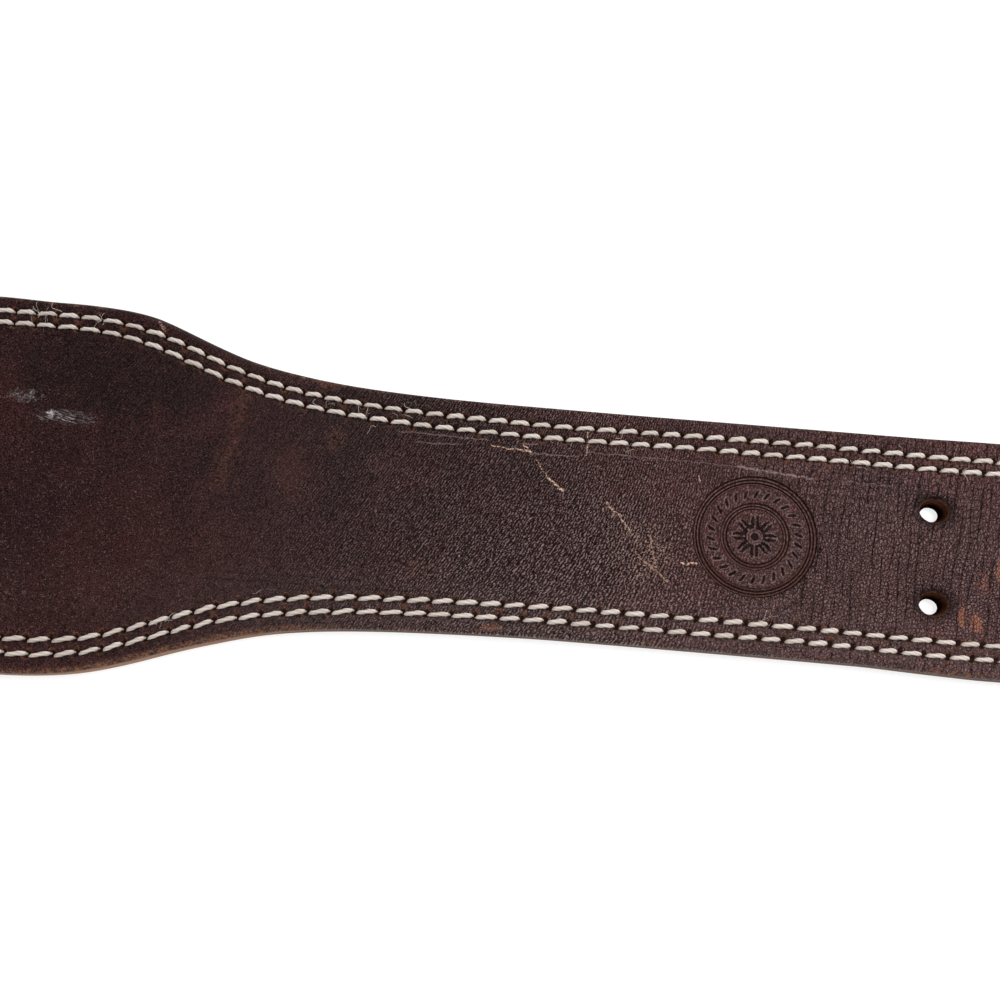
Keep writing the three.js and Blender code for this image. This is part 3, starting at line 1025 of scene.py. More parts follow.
class Coat:
    """A colour that is built up layer by layer."""

    def __init__(self, tree, colour):
        self.tree = tree
        self.colour = colour

    def cover(self, colour, share):
        self.colour = self.tree.mix(self.colour, colour, share)

    def scale(self, amount):
        self.colour = self.tree.tint(self.colour, amount)

    def darken(self, share):
        self.scale(1.0 - share)


def pressed_mark(field, shape):
    """The ground of the pressed mark, its two rings and the fine ridges in them."""
    dx, dy = field.x - float(shape.mark[0] - ORIGIN_STATION), field.y - float(shape.mark[1])
    radius = (dx * dx + dy * dy) ** 0.5 * (MARK_DRAWN_RADIUS / shape.mark_radius)
    rings = radius.between(13.8, 14.1) * radius.fall(16.3, 16.6)
    rings = rings.at_least(radius.between(7.2, 7.5) * radius.fall(9.0, 9.3))
    ridges = (radius * (2 * math.pi / 0.8) - 2.35).cosine() * 0.5 + 0.5
    return radius.fall(15.4, 16.3), rings, ridges


def pale_scuff(field):
    """Share of the pale rubbed patch on the back, which is drawn in hairs along its length."""
    x, y, noise_on = field.x, field.y, field.tree.noise_on
    along, off = (x - 138.0) * 0.97 - (y - 18.5) * 0.23, (y - 18.5) * 0.97 + (x - 138.0) * 0.23
    hairs = noise_on(along * 0.2, off * 3.0 + field.drift * 3.0, field.z, 3.0, 0.7)
    crossed = noise_on(along * 0.5 + off * 0.9, off * 1.6 - along * 0.35, field.z, 3.0, 0.7)
    hairs = hairs.between(0.52, 0.62).at_least(crossed.between(0.56, 0.68) * 0.8)
    patchy = field.ragged.between(0.38, 0.6, 0.25, 1.0)
    scuff = hairs * patchy * 0.7 * field.spot((142.0, 18.0), (9.5, 2.3))
    cloud = field.spot((129.0, 23.3), (5.6, 2.1), 4.0) * field.dots.between(0.4, 0.62)
    core = field.spot((138.0, 18.5), (2.2, 1.3), 6.0) * (0.35 + 0.75 * hairs)
    return strongest([scuff, cloud * (0.08 + 0.4 * hairs), core]).at_most(1.0)


def bare_leather(field, looks, inset, rim, middle):
    """Colours of the cut edge and underside and of the bores, which turn to painted shade deep
    inside, and the height of their relief.
    """
    tree, x, y, z = field.tree, field.x, field.y, field.z
    grime = tree.noise_on(x * 0.05, y * 0.05, z * 0.9, 4.0, 0.65)
    layers = tree.noise_on(x * 0.12, y * 0.12, z * 2.4, 3.0, 0.6)
    undyed = x.between(185.0, 235.0, 0.95, 0.3) * y.between(-10.0, -25.0, 0.15, 1.0)
    wall = tree.mix(looks.edge_dark, looks.raw, undyed)
    shade = layers.between(0.25, 0.75, 0.7, 1.2) * grime.between(0.3, 0.7, 0.8, 1.15)
    wall = tree.tint(wall, shade)
    nap = tree.noise(tree.vector(x * 0.5, y * 1.2, z), 1.3, 3.0, 0.7)
    shade = nap.between(0.2, 0.8, 0.65, 1.25) * middle.between(0.3, 0.7, 0.8, 1.15)
    flesh = tree.tint(looks.flesh, shade)
    fibres = tree.noise_on(x * 0.8, y * 0.8, z * 1.6, 3.0, 0.65).between(0.3, 0.7, 0.55, 1.2)
    cut_wall = tree.tint(tree.mix(looks.rim, looks.pressed, 0.6), fibres)
    # Deep in a bore the wall's colour turns near black: painted shade
    bore = tree.mix(cut_wall, looks.bore, rim.fall(-0.6, -0.15))
    below = inset.between(0.6, 1.6)
    return tree.mix(wall, flesh, below), bore, nap * 0.35 * below + layers * 0.12


def leather_material(looks, shape):
    """Grain, wear and relief of the whole leather body."""
    material, tree = new_material("worn_brown_leather")
    field = Field(tree)
    x, y, z, drift, ragged = field.x, field.y, field.z, field.drift, field.ragged
    inset, dip, rim, mark, skin, groove_shade = [tree.painted(name) for name in PAINTED]
    ground, rings, ridges = pressed_mark(field, shape)

    # How far along the belt each finish goes, and where the painted sheen lies
    from_back = abs(x + (ORIGIN_STATION - BACK_CENTRE))
    grained = from_back.between(190.0, 305.0, 0.2, 1.0)
    cracked = from_back.between(335.0, 390.0)
    # Painted sheen, stronger away from the back and towards the lower edge, less in the cracks and
    # the mark; it lightens the grain's tops below
    painted_sheen = from_back.between(215.0, 350.0, 0.03, 1.25) * y.between(-14.0, 22.0, 1.0, 0.6)
    painted_sheen = painted_sheen * (1.0 - cracked * 0.6) * (1.0 - ground * 0.2)

    # Pebbled grain: cells that are longer one way and lean along the belt
    fine = field.noise(1.2, 3.0, 0.65)
    lean = from_back.between(290.0, 380.0, 0.6, 0.14)
    across = (x - y * lean) * 1.08 + drift * 0.9
    squat = y.between(-16.0, 8.0, 0.85, 0.4) * cracked + 0.54 * (1.0 - cracked)
    tall = y * squat + drift * 0.9
    gap = tree.cell_edges(tree.vector(across, tall, 0.0))
    dome, seam = gap.between(0.0, 0.4), gap.fall(0.0, 0.13)
    swirl = tree.noise_on(across * 0.7, tall * 1.5, 0.0, 3.0, 0.6)
    ripple = (across * 7.3 + swirl * 16.0).cosine() * 0.5 + 0.5
    broken_up = tree.noise_on(across * 1.5, tall * 3.2, 3.0)
    wrinkle = ripple * broken_up.between(0.38, 0.58, 0.05, 1.0)
    small = tree.vector(across * 1.25 + swirl * 0.8, y * 0.95 + drift * 1.4, 0.0)
    small_edge = tree.cell_edges(small)
    small_gap = small_edge.fall(0.03, 0.2)
    ridge_top = wrinkle.between(0.15, 0.8) * (1.0 - cracked * 0.75)
    ridge_top = ridge_top + (1.0 - small_gap) * cracked * 0.55
    valley = ripple.fall(0.1, 0.4) * grained * (1.0 - cracked * 0.85)
    broken_gap = small_gap * cracked * (0.25 + 0.75 * broken_up.between(0.4, 0.6))
    valley = valley.at_least(broken_gap * 0.7)

    # Fine lines on the smooth back and cracks across the narrow end
    lines = ((x - y * 0.6) * 7.2 + drift * 12.0).sine() * 0.5 + 0.5
    lines = lines * field.blot((156.0, 32.0), (34.0, 17.0), drift * 1.6)
    warp = tree.noise_on(x * 0.09, y * 0.03, z) * 16.0 + fine * 2.4
    crack_line = (x * 2.6 - y * 0.3 + warp).cosine()
    crack_gap = tree.noise_on(x * 0.4, y * 0.11, z, 3.0).between(0.38, 0.52)
    crack = crack_line.between(0.78, 0.96) * crack_gap * cracked * 0.85
    crack = crack.at_least(seam * cracked * 0.35) * (1.0 - ground)

    # Colour of the dyed skin, with painted highlights, glints and sheen on the grain, painted shade
    # in its crevices and painted shadow beside the stitches
    broad = field.noise(0.018, 3.0, 0.55)
    middle = field.noise(0.09, 4.0, 0.6)
    streaks = tree.noise_on(x * 0.12 + y * 0.012, y * 0.018, z, 3.0, 0.6)
    speckle = field.noise(2.3, 2.0, 0.6)
    grit = field.noise(2.9, 1.0)
    redder = strongest(
        [
            field.blot((119.0, 17.0), (15.0, 24.0), drift * 1.5),
            broad.between(0.35, 0.65),
            field.blot((237.0, 13.0), (14.0, 12.0), drift * 2.0),
        ]
    )
    body = Coat(tree, tree.mix(looks.dark, looks.red, redder))
    body.cover(looks.brown, streaks.between(0.5, 0.72) * 0.4)
    body.scale(fine.between(0.28, 0.72, 0.75, 1.25) * middle.between(0.3, 0.7, 0.85, 1.15))
    body.scale(grit.between(0.34, 0.66, 0.2, 1.9) * from_back.between(275.0, 425.0, 1.0, 3.3))
    # Painted glints: pale flecks on the smoother leather stand in for glints of light
    painted_glints = field.noise(2.1, 1.0).between(0.6, 0.74) * (1.1 - grained)
    body.cover(looks.highlight_and_rub, painted_glints * 0.45)
    # Painted highlight: the grain's tops are lighter where the painted sheen falls
    tops = (0.7 + 0.3 * dome) * ridge_top * grit.between(0.32, 0.66, 0.3, 1.15)
    painted_sheen = painted_sheen * middle.between(0.35, 0.65, 0.85, 1.15)
    body.cover(looks.highlight_and_rub, tops.between(0.14, 0.6) * painted_sheen)
    body.cover(looks.speck, speckle.between(0.63, 0.74) * 0.6)
    # Painted shade in the crevices between the grain's pebbles and in its valleys
    body.darken((seam * grained * (0.3 + 0.5 * cracked)).at_least(valley * 0.66))
    body.darken(lines * 0.75)
    body.darken(crack * 0.9)
    # Painted shadow of the stitches beside each row
    body.darken(groove_shade * 0.45)
    # Painted sheen in grey patches at the narrow end
    grey_sheen = cracked * broad.between(0.3, 0.6, 1.0, 0.55)
    body.cover(looks.highlight_and_rub, grey_sheen * fine.between(0.35, 0.7, 0.0, 0.1))
    # Painted sheen, stronger towards the lower edge
    body.cover(looks.highlight_and_rub, y.between(-30.0, -12.0, 0.2, 0.0) * grained * fine.between(0.3, 0.7))

    # Wear: warm and purple patches, worn edges and flakes
    warm = field.streak((189.5, 28.0), (186.0, 2.0), 2.6, (ragged - 0.5) * 12.0)
    warm = warm.at_least(field.spot((216.5, 17.5), (3.0, 4.0), 4.0))
    warm = warm.at_least(field.spot((242.2, -15.8), (4.5, 3.2)) * 0.9) * fine.between(0.44, 0.6)
    body.cover(looks.speck, warm * 0.24)
    body.cover(looks.pressed, field.spot((205.2, 7.0), (5.0, 9.0)) * 0.18)
    band = inset.fall(0.35, 1.9) * (0.3 + 0.7 * ragged.between(0.4, 0.55))
    worn_side = y.between(-24.0, -31.0) * x.fall(205.0, 232.0)
    rubbed = inset.fall(0.4, 1.6) * ragged.between(0.5, 0.64)
    worn_edge = band * field.dots.between(0.38, 0.56) * worn_side
    worn_edge = worn_edge.at_least(rubbed * field.noise(0.05).between(0.5, 0.62))
    body.cover(looks.worn, worn_edge * 0.8)
    flakes = strongest([field.spot(*row[:3]) * row[3] for row in FLAKES])
    plates = small_edge.between(0.04, 0.14) * (1.0 - crack)
    flakes = flakes.between(0.15, 0.6) * plates * field.dots.between(0.34, 0.5, 0.35, 1.0)
    body.cover(looks.flake, flakes * 0.74)
    worn = worn_edge.at_least(flakes)

    # Scratches, painted glints, rubbed lines, creases of painted shade and the scuff
    broken = field.noise(1.9).between(0.44, 0.56)
    body.cover(looks.scratch, (field.drawn(SCRATCHES) * (0.08 + 1.1 * broken)).at_most(1.0))
    glints = field.spot((301.0, -6.0), (10.0, 9.0), 4.0)
    body.cover(looks.scratch, glints * grit.between(0.6, 0.7) * 0.55)
    body.cover(looks.highlight_and_rub, field.drawn(RUBBED_LINES) * (0.3 + 0.7 * broken))
    # Painted shade along the creases, which have no relief of their own
    body.darken(field.drawn(CREASES) * (0.45 + 0.55 * ragged.between(0.35, 0.55)) * 0.8)
    body.cover(looks.scuff, pale_scuff(field) * 0.85)

    # Stitch holes with painted shade in them, prong holes, and the pressed mark with painted
    # highlights on its ridges
    # Painted shade in the stitch holes, darkest where they dip
    hole_shade = (dip + (field.dots - 0.5) * 0.5).between(0.12, 0.55) * dip.between(0.02, 0.16)
    body.cover(tree.tint(looks.pressed, 0.16), hole_shade * 0.86)
    torn = dip.between(0.02, 0.12) * (1.0 - dip.between(0.12, 0.4)) * ragged.between(0.42, 0.58)
    body.cover(looks.rim, torn * 0.4)
    body.darken(rim.between(0.2, 3.2, 0.6, 0.0))
    body.cover(looks.rim, rim.between(0.02, 0.3, 0.9, 0.0) * ragged.between(0.35, 0.6))
    body.cover(looks.pressed, ground * 0.08)
    body.darken(mark.between(0.25, 0.85) * 0.8)
    # Painted highlight along the ridges of the mark's lines
    lit_ridge = mark.between(0.06, 0.3) * (1.0 - mark.between(0.35, 0.62))
    body.cover(looks.highlight_and_rub, lit_ridge * fine.between(0.35, 0.65) * 0.8)
    body.cover(looks.pressed, rings * (1.0 - ridges) * 0.8)
    lit = rings * ridges.fall(0.1, 0.35) * fine.between(0.4, 0.62)
    body.cover(looks.highlight_and_rub, lit * y.between(-14.0, 12.0, 0.25, 0.7))
    body.darken(rings * ridges * 0.85)

    # Gloss and relief
    under, bore, under_relief = bare_leather(field, looks, inset, rim, middle)
    surface = tree.mix(under, body.colour, skin.between(0.55, 0.95))
    gloss = 0.36 + 0.06 * fine + grained * (0.3 - 0.34 * tops.between(0.05, 0.4)) + 0.2 * worn
    roughness = gloss * skin + (1.0 - skin) * (0.72 + 0.2 * inset.between(0.6, 1.6))
    relief = (dome * 0.07 * (1.0 - cracked * 0.5) + ridge_top * 0.15 - seam * 0.05) * grained
    relief = relief - lines * 0.04 + (fine * 0.1 + speckle * 0.05) * grained + streaks * 0.12
    relief = relief - crack * 0.1 - rings * ridges * 0.22
    normal = tree.bump(relief * skin + (1.0 - skin) * under_relief, 1.0)

    # What lies deep has no gloss of its own
    inside = rim.fall(-0.25, 0.1)
    deep = strongest(
        [
            valley * 0.75,
            crack * 0.9,
            dip.between(0.05, 0.4) * 0.8,
            mark.between(0.25, 0.85) * 0.7,
            rings * ridges * 0.8,
            grit.between(0.4, 0.6, 0.7, 0.0) * (1.0 - grained),
        ]
    )
    glossy = principled(surface, roughness, normal, 0.2)
    # Inside the bores the dull surface takes their painted shade
    dull = principled(tree.mix(surface, bore, inside), 0.95, normal, 0.0)
    finish_material(tree, glossy, dull, inside.at_least(deep * skin))
    return material


def thread_material(looks):
    """Undyed thread, a little soiled."""
    material, tree = new_material("twisted_thread")
    end, tone, groove_shade = [tree.painted(name) for name in ("end", "tone", "groove_shade")]
    fluff = tree.noise(tree.millimetres(), 5.0, 3.0, 0.7)
    body = Coat(tree, tree.mix(looks.thread, looks.thread_dirty, tone.between(0.3, 1.0) * 0.5))
    body.scale(fluff.between(0.2, 0.8, 0.82, 1.1))
    # Painted shade in the creases between the plies
    body.darken(groove_shade.between(0.3, 1.0) * 0.3)
    body.darken(end.between(0.72, 1.0) * 0.55)
    finish_material(tree, principled(body.colour, 0.75, tree.bump(fluff * 0.12, 0.8), 0.3))
    return material


def lint_material(looks):
    """Loose fibres on the seams."""
    material, tree = new_material("loose_fibre")
    tone = tree.noise(tree.millimetres(), 0.8, 2.0)
    body = tree.tint(looks.thread, tone.between(0.3, 0.7, 0.7, 1.1))
    finish_material(tree, principled(body, 0.8, None, 0.2))
    return material


def burr_material(looks):
    """Torn leather at the rims of the stitch holes."""
    material, tree = new_material("torn_leather")
    tone = tree.noise(tree.millimetres(), 1.6, 3.0)
    body = tree.mix(looks.dark, looks.rim, tone.between(0.35, 0.65))
    finish_material(tree, principled(body, 0.75, tree.bump(tone * 0.2, 0.8), 0.3))
    return material


def steel_material(looks):
    """Satin steel of the buckle."""
    material, tree = new_material("satin_steel")
    place = tree.millimetres()
    x, y, z = tree.parts(place)
    brushed = tree.noise_on(x * 2.0, y * 14.0, z * 2.0, 3.0, 0.6)
    clouds = tree.noise(place, 0.16, 3.0, 0.6)
    nicks = tree.noise(place, 1.4, 3.0, 0.6).between(0.62, 0.75)
    body = tree.mix(looks.steel, looks.steel_dull, clouds.between(0.35, 0.7) * 0.6)
    body = tree.tint(body, 1.0 - nicks * 0.25)
    roughness = 0.2 + brushed * 0.16 + clouds * 0.14 + nicks * 0.2
    normal = tree.bump(brushed * 0.02 - nicks * 0.03, 0.6)
    finish_material(tree, {**principled(body, roughness, normal, 0.5), "Metallic": 1.0})
    return material


# Stitches, loose fibres and torn rims: Geometry Nodes


class NodesTree(Tree):
    """A Geometry Nodes tree with named inputs."""

    def __init__(self, name):
        group = bpy.data.node_groups.new(name, "GeometryNodeTree")
        super().__init__(group)
        group.interface.new_socket("Geometry", in_out="INPUT", socket_type="NodeSocketGeometry")
        group.interface.new_socket("Geometry", in_out="OUTPUT", socket_type="NodeSocketGeometry")
        self.start = group.nodes.new("NodeGroupInput")
        self.sockets = {}

    def input(self, name, kind="Float", value=None):
        kind = "NodeSocket" + kind
        socket = self.tree.interface.new_socket(name, in_out="INPUT", socket_type=kind)
        if value is not None:
            socket.default_value = value
        self.sockets[name] = socket.identifier
        return Value(self, self.start.outputs[name])

    def points(self):
        return Value(self, self.start.outputs["Geometry"])

    def finish(self, geometry, material):
        geometry = self.add("GeometryNodeRealizeInstances", None, {"Geometry": geometry})
        geometry = self.add("GeometryNodeSetShadeSmooth", None, {"Geometry": geometry})
        geometry = self.add(
            "GeometryNodeSetMaterial", None, {"Geometry": geometry, "Material": material}
        )
        self.add("NodeGroupOutput", None, {"Geometry": geometry})

    def line(self, count):
        """Straight line of points, with the share of its length and a run from -1 to 1."""
        ends = {"Start": (-0.5, 0, 0), "End": (0.5, 0, 0)}
        line = self.add("GeometryNodeCurvePrimitiveLine", None, ends)
        line = self.add("GeometryNodeResampleCurve", None, {"Curve": line, "Count": count})
        factor = self.add("GeometryNodeSplineParameter")
        return line, factor, factor * 2.0 - 1.0

    def move(self, geometry, **place):
        return self.add("GeometryNodeSetPosition", None, {"Geometry": geometry, **place})

    def circle(self, count, radius):
        values = {"Resolution": count, "Radius": radius}
        return self.add("GeometryNodeCurvePrimitiveCircle", None, values)

    def tube(self, curve, profile, scale=1.0):
        """Closed tube along a curve."""
        values = {"Curve": curve, "Profile Curve": profile, "Scale": scale, "Fill Caps": True}
        return self.add("GeometryNodeCurveToMesh", None, values)

    def place(self, instance, angles, scale):
        """Puts a turned and scaled copy at every point."""
        turn = self.add("FunctionNodeEulerToRotation", None, {0: angles})
        values = {"Points": self.points(), "Instance": instance, "Rotation": turn, "Scale": scale}
        return self.add("GeometryNodeInstanceOnPoints", None, values)

    def random(self, low, high, seed):
        values = {2: low, 3: high, "Seed": seed}
        return self.add("FunctionNodeRandomValue", {"data_type": "FLOAT"}, values, 1)

    def named(self, name):
        return self.add("GeometryNodeInputNamedAttribute", {"data_type": "FLOAT"}, {"Name": name})

    def store(self, geometry, name, value, domain="POINT"):
        settings = {"data_type": "FLOAT", "domain": domain}
        values = {"Geometry": geometry, "Name": name, "Value": value}
        return self.add("GeometryNodeStoreNamedAttribute", settings, values)


def stitch_nodes():
    """A twisted thread between two holes, placed at every point and turned to its row."""
    tree = NodesTree("Stitch Row")
    length = tree.input("Stitch Length", value=5.3 * MM)
    width = tree.input("Thread Width", value=1.35 * MM)
    bow = tree.input("Bow", value=0.3 * MM)
    rise = tree.input("Rise", value=0.2 * MM)
    sink = tree.input("Sink", value=0.9 * MM)
    slant = tree.input("Slant", value=0.0)
    uneven = tree.input("Unevenness", value=0.05)
    twist = tree.input("Twist", value=5.0)
    taper = tree.input("Taper", value=0.2)
    seed = tree.input("Seed", "Int", 1)
    material = tree.input("Material", "Material")

    line, factor, run = tree.line(11)
    far = abs(run)
    end = far**5.0
    bend = tree.vector(
        run * 0.5 * length,
        bow * (0.45 - far * far) + slant * run,
        rise - (rise + sink) * end,
    )
    line = tree.move(tree.store(line, "end", far), Position=bend)
    line = tree.add("GeometryNodeSetCurveTilt", None, {"Curve": line, "Tilt": factor * twist})
    around = tree.add("GeometryNodeSplineParameter")
    lobes = (around * (6.0 * math.pi)).cosine()
    # Share of the crease between the plies, which the thread's material darkens as painted shade
    profile = tree.store(tree.circle(9, 0.5), "groove_shade", 0.5 - lobes * 0.5)
    where = tree.add("GeometryNodeInputPosition")
    profile = tree.move(profile, Position=tree.tint(where, (1.0 + lobes * 0.12) * width))
    stitch = tree.tube(line, profile, 1.0 - end * 0.35 - run.between(-0.4, 1.0) * taper)
    angle = tree.named("turn") + tree.random(uneven * -1.0, uneven, seed)
    stretch = tree.named("stretch") * tree.random(0.95, 1.04, seed + 1)
    thick = tree.random(0.9, 1.1, seed + 2)
    placed = tree.place(stitch, tree.vector(0.0, 0.0, angle), tree.vector(stretch, thick, thick))
    placed = tree.store(placed, "tone", tree.random(0.0, 1.0, seed + 3), "INSTANCE")
    tree.finish(placed, material)
    return tree


def fibre_nodes():
    """Short curled fibres that stand out of the thread at every point."""
    tree = NodesTree("Loose Fibres")
    width = tree.input("Fibre Width", value=0.09 * MM)
    length = tree.input("Fibre Length", value=3.4 * MM)
    seed = tree.input("Seed", "Int", 1)
    material = tree.input("Material", "Material")
    line, _, run = tree.line(9)
    bend = tree.vector(
        run * 0.5 * length,
        (run * 2.6).sine() * 0.16 * length + run * run * 0.22 * length,
        (1.0 - run * run) * 0.12 * length,
    )
    fibre = tree.tube(tree.move(line, Position=bend), tree.circle(3, width * 0.5))
    angles = tree.vector(
        tree.random(-0.5, 0.5, seed),
        tree.random(-0.25, 0.25, seed + 1),
        tree.random(0.0, 6.28, seed + 2),
    )
    size = tree.random(0.35, 1.2, seed + 3)
    scale = tree.vector(size, size * tree.random(0.3, 1.3, seed + 4), size)
    tree.finish(tree.place(fibre, angles, scale), material)
    return tree


def burr_nodes():
    """Curled rims of leather that the awl has torn up beside the holes."""
    tree = NodesTree("Torn Rims")
    radius = tree.input("Rim Radius", value=0.85 * MM)
    width = tree.input("Rim Width", value=0.5 * MM)
    seed = tree.input("Seed", "Int", 1)
    material = tree.input("Material", "Material")
    values = {"Resolution": 8, "Radius": radius, "Start Angle": 0.1, "Sweep Angle": 2.9}
    arc = tree.add("GeometryNodeCurveArc", {"mode": "RADIUS"}, values)
    factor = tree.add("GeometryNodeSplineParameter")
    arc = tree.move(arc, Offset=tree.vector(0.0, 0.0, (factor * 9.0).sine() * radius * 0.22))
    ends = 1.0 - abs(factor * 2.0 - 1.0) ** 3.0 * 0.6
    flap = tree.tube(arc, tree.circle(5, width * 0.5), ends)
    angles = tree.vector(
        tree.random(-0.3, 0.3, seed),
        tree.random(-0.3, 0.3, seed + 1),
        tree.named("turn") + tree.random(-0.5, 0.5, seed + 2),
    )
    size = tree.random(0.6, 1.2, seed + 3)
    scale = tree.vector(size, size * tree.random(0.7, 1.2, seed + 4), size)
    tree.finish(tree.place(flap, angles, scale), material)
    return tree


def grow(name, points, values, tree, inputs):
    """Runs a tree on points in millimetres and returns the plain mesh that it makes."""
    source = linked(name, mesh_of(name, points, [], values, smooth_faces=False))
    modifier = source.modifiers.new(name, "NODES")
    modifier.node_group = tree.tree
    for label, value in inputs.items():
        modifier[tree.sockets[label]] = value
    mesh = evaluated_mesh(source)
    bpy.data.objects.remove(source)
    return mesh


def joined(name, meshes):
    """One mesh from several that share a material."""
    whole = bmesh.new()
    for mesh in meshes:
        whole.from_mesh(mesh)
    result = bpy.data.meshes.new(name)
    whole.to_mesh(result)
    whole.free()
    for mesh in meshes:
        bpy.data.meshes.remove(mesh)
    result.shade_smooth()
    return result


# Buckle


def sweep(path, across, sections, closed):
    """Tube along a path. A section is half its width, half its height and how square it is."""
    path = np.array(path, float)
    count = len(path)
    if closed:
        tangents = np.roll(path, -1, 0) - np.roll(path, 1, 0)
    else:
        tangents = np.gradient(path, axis=0)
    points, faces = [], []
    for here, tangent, side, section in zip(path, tangents, across, sections):
        half_width, half_height, square = section
        tangent = tangent / np.linalg.norm(tangent)
        side = np.array(side, float)
        side -= tangent * side.dot(tangent)
        side /= np.linalg.norm(side)
        lift = np.cross(side, tangent)
        for j in range(BAR_SIDES):
            angle = 2 * math.pi * j / BAR_SIDES
            c, s = math.cos(angle), math.sin(angle)
            c = math.copysign(abs(c) ** (1 - square), c) * half_width
            s = math.copysign(abs(s) ** (1 - square), s) * half_height
            points.append(here + side * c + lift * s)
    for number in range(count if closed else count - 1):
        here, there = number * BAR_SIDES, ((number + 1) % count) * BAR_SIDES
        for j in range(BAR_SIDES):
            k = (j + 1) % BAR_SIDES
            faces.append([here + j, here + k, there + k, there + j])
    if not closed:
        faces.append(list(range(BAR_SIDES)))
        faces.append(list(range((count - 1) * BAR_SIDES, count * BAR_SIDES))[::-1])
    return np.array(points), faces


class BuckleShape:
    """The frame leans down from the heel bar, and its prongs lie on the front bar."""

    def __init__(self, sizes):
        self.bar = sizes.bar_diameter / 2 / MM
        self.reach = sizes.frame_reach / MM
        self.half_width = sizes.frame_width / 2 / MM
        self.drop = math.asin((FOLD_RADIUS - self.bar - FLOOR_GAP) / self.reach)

    def place(self, reach, y, lift):
        """Place at a distance from the heel bar along the frame and above it."""
        x = FOLD_RADIUS - reach * math.cos(self.drop) - lift * math.sin(self.drop)
        z = FOLD_RADIUS - reach * math.sin(self.drop) + lift * math.cos(self.drop)
        return (x - ORIGIN_STATION, y, z)

    def frame_shell(self):
        """Closed loop of round bar with round corners."""
        path, across = [], []
        low, high = FRAME_CORNER, self.reach - FRAME_CORNER
        edge = self.half_width - FRAME_CORNER
        corners = ((low, edge, 1), (low, -edge, 2), (high, -edge, 3), (high, edge, 4))
        for reach, y, quarter in corners:
            for step in range(FRAME_CORNER_STEPS + 1):
                turn = (quarter + step / FRAME_CORNER_STEPS) * math.pi / 2
                out, aside = math.cos(turn), math.sin(turn)
                path.append(self.place(reach + FRAME_CORNER * out, y + FRAME_CORNER * aside, 0))
                across.append(np.subtract(self.place(out, aside, 0), self.place(0, 0, 0)))
        filled, filled_across = [], []
        for number, here in enumerate(path):
            following = (number + 1) % len(path)
            steps = max(1, int(math.dist(here, path[following]) / FRAME_STEP))
            for share in [step / steps for step in range(steps)]:
                filled.append(np.array(here) * (1 - share) + np.array(path[following]) * share)
                filled_across.append(across[number] * (1 - share) + across[following] * share)
        return sweep(filled, filled_across, [(self.bar, self.bar, 0.0)] * len(filled), True)

    def prong_shell(self, y):
        """A flat strip curled round the heel bar that becomes a round finger."""
        curl = self.bar + 1.25
        on_bar = self.bar + 2.25
        stations = []
        for step in range(PRONG_CURL_STEPS + 1):
            angle = math.radians(PRONG_CURL_START - PRONG_CURL_TURN * step / PRONG_CURL_STEPS)
            share = step / PRONG_CURL_STEPS * 0.25
            stations.append((curl * math.cos(angle), curl * math.sin(angle), share))
        stations += [(4, 4.5, 0.4), (8, 4.75, 0.6), (13, 5.05, 0.8), (18, on_bar, 0.95)]
        stations += [(reach, on_bar, 1.0) for reach in (23, 28, 33, 36, 38)]
        sections = []
        for _, _, share in stations:
            blend = float(smooth(np.array(share), 0.2, 0.85))
            sizes = [a * (1 - blend) + b * blend for a, b in zip(PRONG_STRIP, PRONG_FINGER)]
            sections.append((*sizes, PRONG_SQUARENESS * (1 - blend)))
        wide, high = PRONG_FINGER
        sections += [(wide * size, high * size, 0.0) for _, _, size in PRONG_TIP]
        path = [self.place(reach, y, lift) for reach, lift, _ in (*stations, *PRONG_TIP)]
        return sweep(path, [(0, 1, 0)] * len(path), sections, False)


# Settings

# Stage: the floor in millimetres, and lamps as name, place, size and power, in metres and watts
FLOOR_HALF_WIDTH = 3000
FLOOR_Z = -0.4
WHITE = (1.0, 1.0, 1.0, 1.0)
LAMP_AIM = (0.25, 0, 0)
LAMPS = (
    ("above", (0.5, 0.04, 0.75), 0.2, 3.9),
    ("right", (1.1, 0.5, 0.7), 0.4, 4.6),
    ("left", (-0.8, 0.5, 0.5), 0.4, 1.6),
    ("front", (0.3, -0.9, 0.6), 0.4, 2.8),
    ("back", (0.25, 1.0, 0.6), 0.4, 3.1),
)


def length_property(name, description, millimetres):
    """Setting for a length."""
    default = millimetres * MM
    return FloatProperty(name=name, description=description, default=default, unit="LENGTH")


